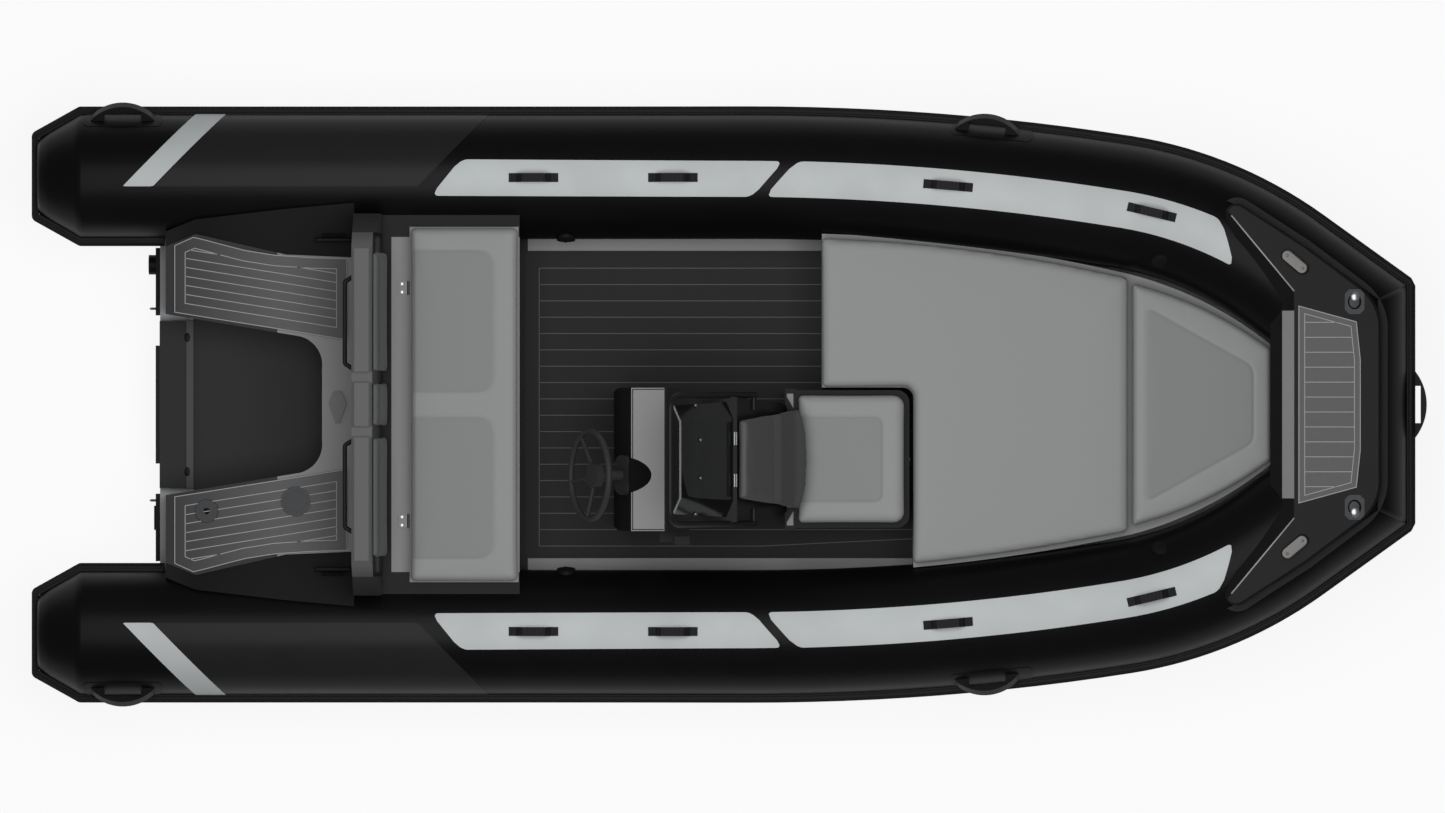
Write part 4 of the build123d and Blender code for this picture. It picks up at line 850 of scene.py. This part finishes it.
BENCH_INSETS = [((-1.32, -0.921), (0.048, 0.624)), ((-1.32, -0.921), (-0.623, -0.049))]
SEAT_INSET = ((0.24, 0.650), (-0.395, -0.049))
BOW_INSET = [(1.712, 0.396), (2.146, 0.156), (2.146, -0.156), (1.712, -0.396)]
CUSHIONS = [  # solid, cover, voxel, finish, slot, body, sewn outlines
    ("sun_pad", "sun_pad_cover", 0.014, "cushion", "cushion_vinyl", "root", []),
    ("bow_cushion", "bow_cushion_cover", 0.010, "cushion", "cushion_vinyl", "root",
     [rounded(BOW_INSET, 0.04)]),
    ("bench_cushion", "bench_cushion_cover", 0.011, "cushion", "cushion_vinyl", "bench_top",
     [rounded(rectangle(x, y), 0.07) for x, y in BENCH_INSETS]),
    ("front_seat_cushion", "front_seat_cover", 0.008, "cushion", "cushion_vinyl", "root",
     [rounded(rectangle(*SEAT_INSET), 0.04)]),
    ("bench_backrest", "backrest_pads", 0.007, "back", "dark_vinyl", "root", []),
    ("backrest_hatch", "backrest_cover", 0.008, "hatch", "dark_vinyl", "hatch", []),
]


class BOAT_OT_cushions(bpy.types.Operator):
    """Stuff and sew the cushions, the backrest pads and the backrest hatch."""

    bl_idname = "boat.cushions"
    bl_label = "Cushions"

    def execute(self, context):
        for node, name, voxel, finish, slot, body, outlines in CUSHIONS:
            sew(stuffed(node, name, voxel, FINISH[finish], body), outlines)
        return {"FINISHED"}


# Grooves of the foam decking

def quarter(v):
    """Plan vectors turned a quarter to the left."""
    return np.stack([-v[:, 1], v[:, 0]], -1)


def ribbon(line, width, closed=True):
    """A flat strip along a plan line, mitred at its corners: points either side of it and its quads."""
    p = np.asarray(line, float)
    ahead = unit(np.roll(p, -1, 0) - p)
    back = unit(p - np.roll(p, 1, 0))
    if not closed:
        ahead[-1], back[0] = back[-1], ahead[0]
    across = unit(quarter(ahead + back))
    stretch = 1 / np.clip((across * quarter(ahead)).sum(-1, keepdims=True), 0.4, 1)
    left, right = p + across * stretch * width / 2, p - across * stretch * width / 2
    return np.stack([left, right], 1), grid(len(p), 2, closed_rows=closed)


def drawn_in(outline, d):
    """A closed plan outline moved inwards by d, each corner on its bisector; it runs anticlockwise."""
    p = np.asarray(outline, float)
    area = (p[:, 0] * np.roll(p[:, 1], -1) - np.roll(p[:, 0], -1) * p[:, 1]).sum()
    p = p if area > 0 else p[::-1]
    ahead, back = unit(np.roll(p, -1, 0) - p), unit(p - np.roll(p, 1, 0))
    inward = unit(quarter(ahead + back))
    return p + inward * d / np.clip((inward * quarter(ahead)).sum(-1, keepdims=True), 0.5, 1)


def ruled(outline, spacing, angle=0.0, phase=0.0):
    """Parallel lines clipped to a closed outline: pairs of end points."""
    turn = np.array([[cos(angle), sin(angle)], [-sin(angle), cos(angle)]])
    p = np.asarray(outline) @ turn.T
    a, b = p, np.roll(p, -1, 0)
    low, high = p[:, 1].min(), p[:, 1].max()
    first, last = np.ceil((low - phase) / spacing), np.floor((high - phase) / spacing)
    levels = phase + spacing * np.arange(first, last + 1)
    margin = 0.4 * spacing
    lines = []
    for level in levels[(levels > low + margin) & (levels < high - margin)]:
        cut = (a[:, 1] > level) != (b[:, 1] > level)
        x = a[cut, 0] + (level - a[cut, 1]) / (b[cut, 1] - a[cut, 1]) * (b[cut, 0] - a[cut, 0])
        x = np.sort(x)
        ends = [(s, e) for s, e in zip(x[::2], x[1::2]) if e - s > SHORTEST]
        lines += [np.array([[s, level], [e, level]]) @ turn for s, e in ends]
    return lines


def plane(z, x=0.0, rise=0.0):
    """Height over plan points of a plane that is z at the station x and climbs forward by rise."""
    return lambda plan: z + (plan[:, 0] - x) * rise


def groove_piece(name, outlines, lines, height, finish, slot):
    """All the grooves of a pad as one mesh of thin strips laid in its top; height gives z from the plan."""
    _, sizes = settings()
    width = sizes.groove_width
    strips = [ribbon(o, width) for o in outlines] + [ribbon(line, width, closed=False) for line in lines]
    flat = [(plan.reshape(-1, 2), quads) for plan, quads in strips]
    points, faces = joined(*[(np.column_stack([plan, height(plan)]), quads) for plan, quads in flat])
    thicken(piece(name, points, flipped(faces), finish, slot, smooth=False), GROOVE_DEEP)


STERN_PAD = [(-2.218, 0.371), (-1.515, 0.259), (-1.515, 0.593), (-1.660, 0.597), (-1.810, 0.607),
             (-1.930, 0.626), (-2.030, 0.652), (-2.090, 0.668), (-2.140, 0.680), (-2.218, 0.645)]
STEP_PAD_FORE = 2.588
STEP_PAD = [(2.337, 0.399), (2.572, 0.334), (STEP_PAD_FORE, 0.180), (STEP_PAD_FORE, -0.180),
            (2.572, -0.334), (2.337, -0.399)]
DECK_BORDER = [(-0.744, -0.576), (0.160, -0.576), (0.780, -0.546), (0.780, 0.555), (-0.744, 0.555)]
WELL_SLOPE = -0.1585
LAID, GROOVE_DEEP = 0.0006, 0.0016
SHORTEST = 0.02          # a shorter groove is left out
PAD_RIM, STERN_INNER, STEP_INNER = 0.003, 0.045, 0.026   # borders, in from the edge of a pad
STEP_PHASE = 0.03


class BOAT_OT_foam_lines(bpy.types.Operator):
    """Lay the pale grooves in the foam of the cockpit floor, the stern pads and the bow step."""

    bl_idname = "boat.foam_lines"
    bl_label = "Foam grooves"

    def execute(self, context):
        _, sizes = settings()
        deck_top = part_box("deck_pad")[1].z + LAID
        border = np.array(DECK_BORDER)
        lines = ruled(border, sizes.plank, phase=border[:, 1].max())
        groove_piece("deck_grooves", [border], lines, plane(deck_top), FINISH["deck_groove"], "deck_foam")
        stern_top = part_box("stern_pads")[1].z + LAID
        for side, sign in (("port", 1), ("starboard", -1)):
            pad = np.array(STERN_PAD) * [1, sign]
            inner = drawn_in(pad, STERN_INNER)
            angle = sign * WELL_SLOPE
            x, y = inner[np.argmin(np.abs(inner[:, 1]))]
            lines = ruled(inner, sizes.stern_plank, angle, y * cos(angle) - x * sin(angle))
            groove_piece(f"stern_grooves_{side}", [drawn_in(pad, PAD_RIM), inner], lines, plane(stern_top),
                         FINISH["groove"], "stern_foam")
        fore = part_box("bow_step_pad")[1]
        pad = np.array(STEP_PAD) + [fore.x - STEP_PAD_FORE, 0]
        inner = drawn_in(pad, STEP_INNER)
        lines = ruled(inner, sizes.step_plank, phase=STEP_PHASE)
        groove_piece("step_grooves", [drawn_in(pad, PAD_RIM), inner], lines,
                     plane(fore.z + LAID, fore.x, tan(SHEER)), FINISH["groove"], "stern_foam")
        return {"FINISHED"}


# Small fittings, and painted highlights on the edges of the bow step

def dome(centre, normal, wide, high, long=None, steps=20, rings=7):
    """A low cap: P = C + cos b (wide cos a U + long sin a V) + high sin b N, closed underneath."""
    n = unit(np.asarray(normal, float))
    v = unit(np.cross(n, [0.31, 0.05, 0.95] if abs(n[2]) < 0.9 else [1.0, 0, 0]))
    u = np.cross(v, n)
    a = np.linspace(0, 2 * pi, steps, endpoint=False)[None, :, None]
    b = np.linspace(0, 0.48 * pi, rings)[:, None, None]
    ring = wide * np.cos(a) * u + (long or wide) * np.sin(a) * v
    points = np.asarray(centre) + np.cos(b) * ring + high * np.sin(b) * n
    return points.reshape(-1, 3), grid(rings, steps, closed_cols=True).tolist() + ring_caps(rings, steps)


def bar(a, b, r, steps=12):
    """A round bar: P = A + t (B - A) + r (cos s U + sin s V), closed at both ends."""
    a, b = np.asarray(a, float), np.asarray(b, float)
    n = unit(b - a)
    u = unit(np.cross([0.0, 1.0, 0.3], n))
    v = np.cross(n, u)
    s = np.linspace(0, 2 * pi, steps, endpoint=False)[:, None]
    ring = r * (np.cos(s) * u + np.sin(s) * v)
    faces = grid(2, steps, closed_cols=True).tolist()
    return np.concatenate([a + ring, b + ring]), faces + ring_caps(2, steps)


BOW_CORNER_Y = 0.3549


def on_step(ahead, out, h):
    """A point of the bow step: ahead and outboard of the tube's bow corner, and h above the tube's plane."""
    u = (BOW_AXIS + ahead - RISE_TO) / cos(SHEER)
    base = axis_at(RISE_TO)[2]
    return np.array([RISE_TO + u * cos(SHEER) - h * sin(SHEER), BOW_CORNER_Y + out,
                     base + u * sin(SHEER) + h * cos(SHEER)])


def twins(shapes):
    """Shapes with their mirror images."""
    return shapes + [(mirrored(points), flipped(faces)) for points, faces in shapes]


# A cap's size is its radius and its height, and for an oval one its other radius.
KNOBS = [  # x, y, z, then the way it faces
    (-0.088, -0.141, 1.171, 0.815, 0.0, 0.579), (-0.088, -0.293, 1.171, 0.815, 0.0, 0.579),
    (-0.107, -0.004, 1.164, 0.74, 0.35, 0.57), (-0.107, -0.436, 1.164, 0.74, -0.35, 0.57),
]
KNOB = (0.009, 0.011)
SEAT_MIDDLE = -0.2225
SEAT_CATCH, CATCH = (0.757, SEAT_MIDDLE, 0.485), (0.013, 0.007)
STEP_UP = np.array([-sin(SHEER), 0, cos(SHEER)])
LAMP, LAMP_TOP, LAMP_TURN = (-0.193, 0.218), 0.310, radians(-40)
SCREW, SCREW_OFF, SCREW_SUNK = (0.006, 0.003), 0.040, 0.001


def knobs_and_screws():
    """The knobs of the windscreen, the catch of the front seat and the screws of the navigation lights."""
    knobs = [dome(knob[:3], knob[3:], *KNOB) for knob in KNOBS]
    catch = dome(SEAT_CATCH, (1, 0, 0), *CATCH)
    lamp = on_step(*LAMP, LAMP_TOP)
    along = np.array([cos(LAMP_TURN) * cos(SHEER), sin(LAMP_TURN), cos(LAMP_TURN) * sin(SHEER)])
    screws = [dome(lamp + s * SCREW_OFF * along - STEP_UP * SCREW_SUNK, STEP_UP, *SCREW) for s in (-1, 1)]
    piece("knobs_and_screws", *joined(*knobs, catch, *twins(screws)), FINISH["steel"], "stainless")


VALVES = [(-0.632, 0.97), (1.770, 0.735)]   # station, how far it leans inboard
VALVE_LIFT, VALVE_CAP, VALVE_TAB = 0.011, (0.030, 0.005), (0.022, 0.012, 0.005)
PLUG_PLACE, PLUG = (TRANSOM_RIB + 0.004, 0.273, 0.185), (0.011, 0.005, 0.019)


def valve_tabs():
    """The caps and pull tabs of the air valves, and the oval plugs of the transom."""
    shapes = []
    for x, lean in VALVES:
        out = np.array([0, -lean, (1 - lean ** 2) ** 0.5])
        centre = axis_at(x) + out * (TUBE_R + VALVE_LIFT)
        shapes += [dome(centre, out, *VALVE_CAP), dome(centre, out, *VALVE_TAB)]
    shapes.append(dome(PLUG_PLACE, UP, *PLUG))
    piece("valve_tabs", *joined(*twins(shapes)), FINISH["plastic"], "black_plastic")


DASH_LINE = [(-0.233, 0.061), (-0.358, 0.061), (-0.358, -0.501), (-0.233, -0.501)]
DASH_TOP, DASH_RISE = 0.9058, 0.06


def dash_line():
    """The dark joint round the light part of the dash."""
    groove_piece("dash_line", [], [np.array(DASH_LINE)], plane(DASH_TOP, DASH_AFT, DASH_RISE),
                 FINISH["plastic"], "black_plastic")


STEP_TOP = 0.290
RIDGE, TIP, SLOPE = (-0.196, 0.101), (-0.447, 0.405), (-0.100, -0.125)
HIGHLIGHT_BEAD_R, STRIP_SHARE, STRIP_HALF = 0.003, 0.49, 0.377
PLATE, PLATE_LIFT = 0.004, 0.0012   # thickness of a thin plate, and how far it stands off what it lies on


def step_trim():
    """The pale beads along the edges of the bow step, a painted highlight for the light on its rounded edges,
    and the strip across the upper part of its aft slope.
    """
    ridge, tip = on_step(*RIDGE, STEP_TOP), on_step(*TIP, STEP_TOP)
    # pale beads along the ridges from tip to ridge: a painted highlight
    piece("step_highlight_beads", *joined(*twins([bar(tip, ridge, HIGHLIGHT_BEAD_R)])), FINISH["edge"], "gelcoat_grey")
    low = on_step(RIDGE[0] + STRIP_SHARE * SLOPE[0], RIDGE[1], STEP_TOP + STRIP_SHARE * SLOPE[1])
    lift = PLATE_LIFT * np.array([SLOPE[1], 0, -SLOPE[0]]) / np.hypot(*SLOPE)
    corners = [(ridge, STRIP_HALF), (ridge, -STRIP_HALF), (low, -STRIP_HALF), (low, STRIP_HALF)]
    strip = [[p[0], y, p[2]] + lift for p, y in corners]
    plate = piece("step_strip", strip, [[0, 3, 2, 1]], FINISH["deck"], "gelcoat_grey", smooth=False)
    thicken(plate, PLATE)


CLEAT_IN, CLEAT_SUNK, CLEAT_CAP = 0.031, 0.004, (0.019, 0.009, 0.022)
LEAF_SCREW = (0.016, 0.471, 0.0165)   # forward of the leaf's aft edge, off the centreline, half spacing
LEAF_LIFT, LEAF_HEAD = 0.0015, (0.009, 0.002)


def cleat_caps():
    """The chromed caps of the bow cleats and the screw heads of the bench hinges."""
    low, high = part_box("bow_cleats")
    cap = ((low.x + high.x) / 2, high.y - CLEAT_IN, high.z - CLEAT_SUNK)
    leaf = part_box("bench_hinges")[0]
    forward, out, half = LEAF_SCREW
    heads = [dome((leaf.x + forward, out + s, leaf.z + LEAF_LIFT), UP, *LEAF_HEAD) for s in (-half, half)]
    shapes = twins([dome(cap, STEP_UP, *CLEAT_CAP), *heads])
    piece("cleat_caps", *joined(*shapes), FINISH["chrome"], "stainless")


SEAT_SHADE_PLATES = [  # corners in plan of the black plates of painted shade beside the hatch, on the port side of the seat
    [(0.254, 0.064), (0.254, 0.044), (0.298, 0.044), (0.298, 0.064)],
    [(0.254, 0.045), (0.254, -0.030), (0.298, -0.030), (0.2885, -0.014)],
    [(0.2885, 0.045), (0.2885, -0.016), (0.298, -0.030), (0.298, 0.045)],
]


def seat_shade_plates():
    """Black plates on the front seat base, on both sides of the hatch, that paint the shade falling there
    beside the console.
    """
    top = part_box("front_seat_base")[1].z + PLATE_LIFT
    port = [np.array([(x, y, top) for x, y in corners]) for corners in SEAT_SHADE_PLATES]
    starboard = [mirrored(points) + [0, 2 * SEAT_MIDDLE, 0] for points in port]
    flat = joined(*[(p, [[0, 1, 2, 3]]) for p in port], *[(p, [[3, 2, 1, 0]]) for p in starboard])
    # painted shade: thin black plates where the seat base lies in shadow
    thicken(piece("seat_shade_plates", *flat, FINISH["black"], "gelcoat_black", smooth=False), PLATE)


class BOAT_OT_fittings(bpy.types.Operator):
    """Add the knobs, screws, valve tabs, dash line, strip and painted highlight beads of the bow step, cleat
    caps, and the dark plates of painted shade on the seat base.
    """

    bl_idname = "boat.fittings"
    bl_label = "Fittings"

    def execute(self, context):
        knobs_and_screws()
        valve_tabs()
        dash_line()
        step_trim()
        cleat_caps()
        seat_shade_plates()
        return {"FINISHED"}


# Camera, floor and light

PHOTO_WIDE = 5.852      # metres across the picture, at the height of the tubes
PHOTO_CENTRE = (0.002, -0.008)
LENS, SENSOR = 300.0, 36.0
OUTLINE_Z = 0.40
CLIP_NEAR, CLIP_FAR = 1, 500
FLOOR_HALF = 60
LIGHT_HIGH, LIGHT_WIDE, LIGHT_POWER = 7, 6.0, 400
SKY, FLOOR_GLOW = 0.22, 0.9
WHITE = (1, 1, 1, 1)


class BOAT_OT_stage(bpy.types.Operator):
    """Set the camera straight above the boat, a pale floor at the waterline and a soft studio light."""

    bl_idname = "boat.stage"
    bl_label = "Stage"

    def execute(self, context):
        scene = context.scene
        scene.view_settings.view_transform = "Standard"
        camera = bpy.data.objects.new("camera", bpy.data.cameras.new("camera"))
        scene.collection.objects.link(camera)
        camera.data.lens, camera.data.sensor_width = LENS, SENSOR
        camera.location = (*PHOTO_CENTRE, OUTLINE_Z + PHOTO_WIDE * LENS / SENSOR)
        camera.data.clip_start, camera.data.clip_end = CLIP_NEAR, CLIP_FAR
        scene.camera = camera
        floor = bpy.data.objects.new("floor", bpy.data.meshes.new("floor"))
        span = (-FLOOR_HALF, FLOOR_HALF)
        corners = [(x, y, 0) for x, y in rectangle(span, span)]
        floor.data.from_pydata(corners, [], [(0, 1, 2, 3)])
        scene.collection.objects.link(floor)
        floor.data.materials.append(self.floor_material())
        light = bpy.data.lights.new("overhead", "AREA")
        light.energy, light.size = LIGHT_POWER, LIGHT_WIDE
        overhead = bpy.data.objects.new("overhead", light)
        overhead.location = (0, 0, LIGHT_HIGH)
        scene.collection.objects.link(overhead)
        world = bpy.data.worlds.new("studio")
        scene.world = world
        world.use_nodes = True
        tree = world.node_tree
        tree.nodes.clear()
        sky = add(tree, "ShaderNodeBackground", {"Color": WHITE, "Strength": SKY})
        add(tree, "ShaderNodeOutputWorld", {"Surface": sky.outputs["Background"]})
        return {"FINISHED"}

    def seen(self, tree):
        """One for rays from the camera, from gloss and through glass."""
        path = add(tree, "ShaderNodeLightPath").outputs
        first = add(tree, "ShaderNodeMath", {0: path["Is Camera Ray"], 1: path["Is Transmission Ray"]},
                    operation="MAXIMUM")
        both = add(tree, "ShaderNodeMath", {0: first.outputs["Value"], 1: path["Is Glossy Ray"]},
                   operation="MAXIMUM")
        return both.outputs["Value"]

    def floor_material(self):
        """A matt white floor that looks white to the camera and still takes a shadow."""
        made = bpy.data.materials.new("white_floor")
        made.use_nodes = True
        tree = made.node_tree
        tree.nodes.clear()
        paint = add(tree, "ShaderNodeBsdfDiffuse", {"Color": (0.8, 0.8, 0.8, 1)}).outputs["BSDF"]
        glow = add(tree, "ShaderNodeEmission", {"Color": WHITE, "Strength": 1.0}).outputs["Emission"]
        both = add(tree, "ShaderNodeMixShader", {"Fac": FLOOR_GLOW, 1: paint, 2: glow}).outputs["Shader"]
        pick = add(tree, "ShaderNodeMixShader", {"Fac": self.seen(tree), 1: paint, 2: both})
        add(tree, "ShaderNodeOutputMaterial", {"Surface": pick.outputs["Shader"]})
        return made


OPERATORS = [BOAT_OT_frame_finish, BOAT_OT_tubes, BOAT_OT_tube_trim, BOAT_OT_cushions, BOAT_OT_foam_lines,
             BOAT_OT_fittings, BOAT_OT_stage]


class BOAT_PT_panel(bpy.types.Panel):
    """The boat's settings and steps in the sidebar."""

    bl_idname = "BOAT_PT_panel"
    bl_label = "Inflatable boat"
    bl_space_type = "VIEW_3D"
    bl_region_type = "UI"
    bl_category = "Boat"

    def draw(self, context):
        for group in settings():
            for name in group.bl_rna.properties.keys():
                if name not in ("rna_type", "name"):
                    self.layout.prop(group, name)
        for operator in OPERATORS:
            self.layout.operator(operator.bl_idname)


CLASSES = [BoatColours, BoatSizes, *OPERATORS, BOAT_PT_panel]


def register():
    """Make the settings, the operators and the panel known to Blender."""
    for cls in CLASSES:
        bpy.utils.register_class(cls)
    bpy.types.Scene.boat_colours = PointerProperty(type=BoatColours)
    bpy.types.Scene.boat_sizes = PointerProperty(type=BoatSizes)


def unregister():
    """Take them out again."""
    del bpy.types.Scene.boat_sizes
    del bpy.types.Scene.boat_colours
    for cls in reversed(CLASSES):
        bpy.utils.unregister_class(cls)


def main():
    """Build the boat step by step."""
    register()
    bpy.ops.boat.frame_finish()
    bpy.ops.boat.tubes()
    bpy.ops.boat.tube_trim()
    bpy.ops.boat.cushions()
    bpy.ops.boat.foam_lines()
    bpy.ops.boat.fittings()
    bpy.ops.boat.stage()


if __name__ == "__main__":
    main()
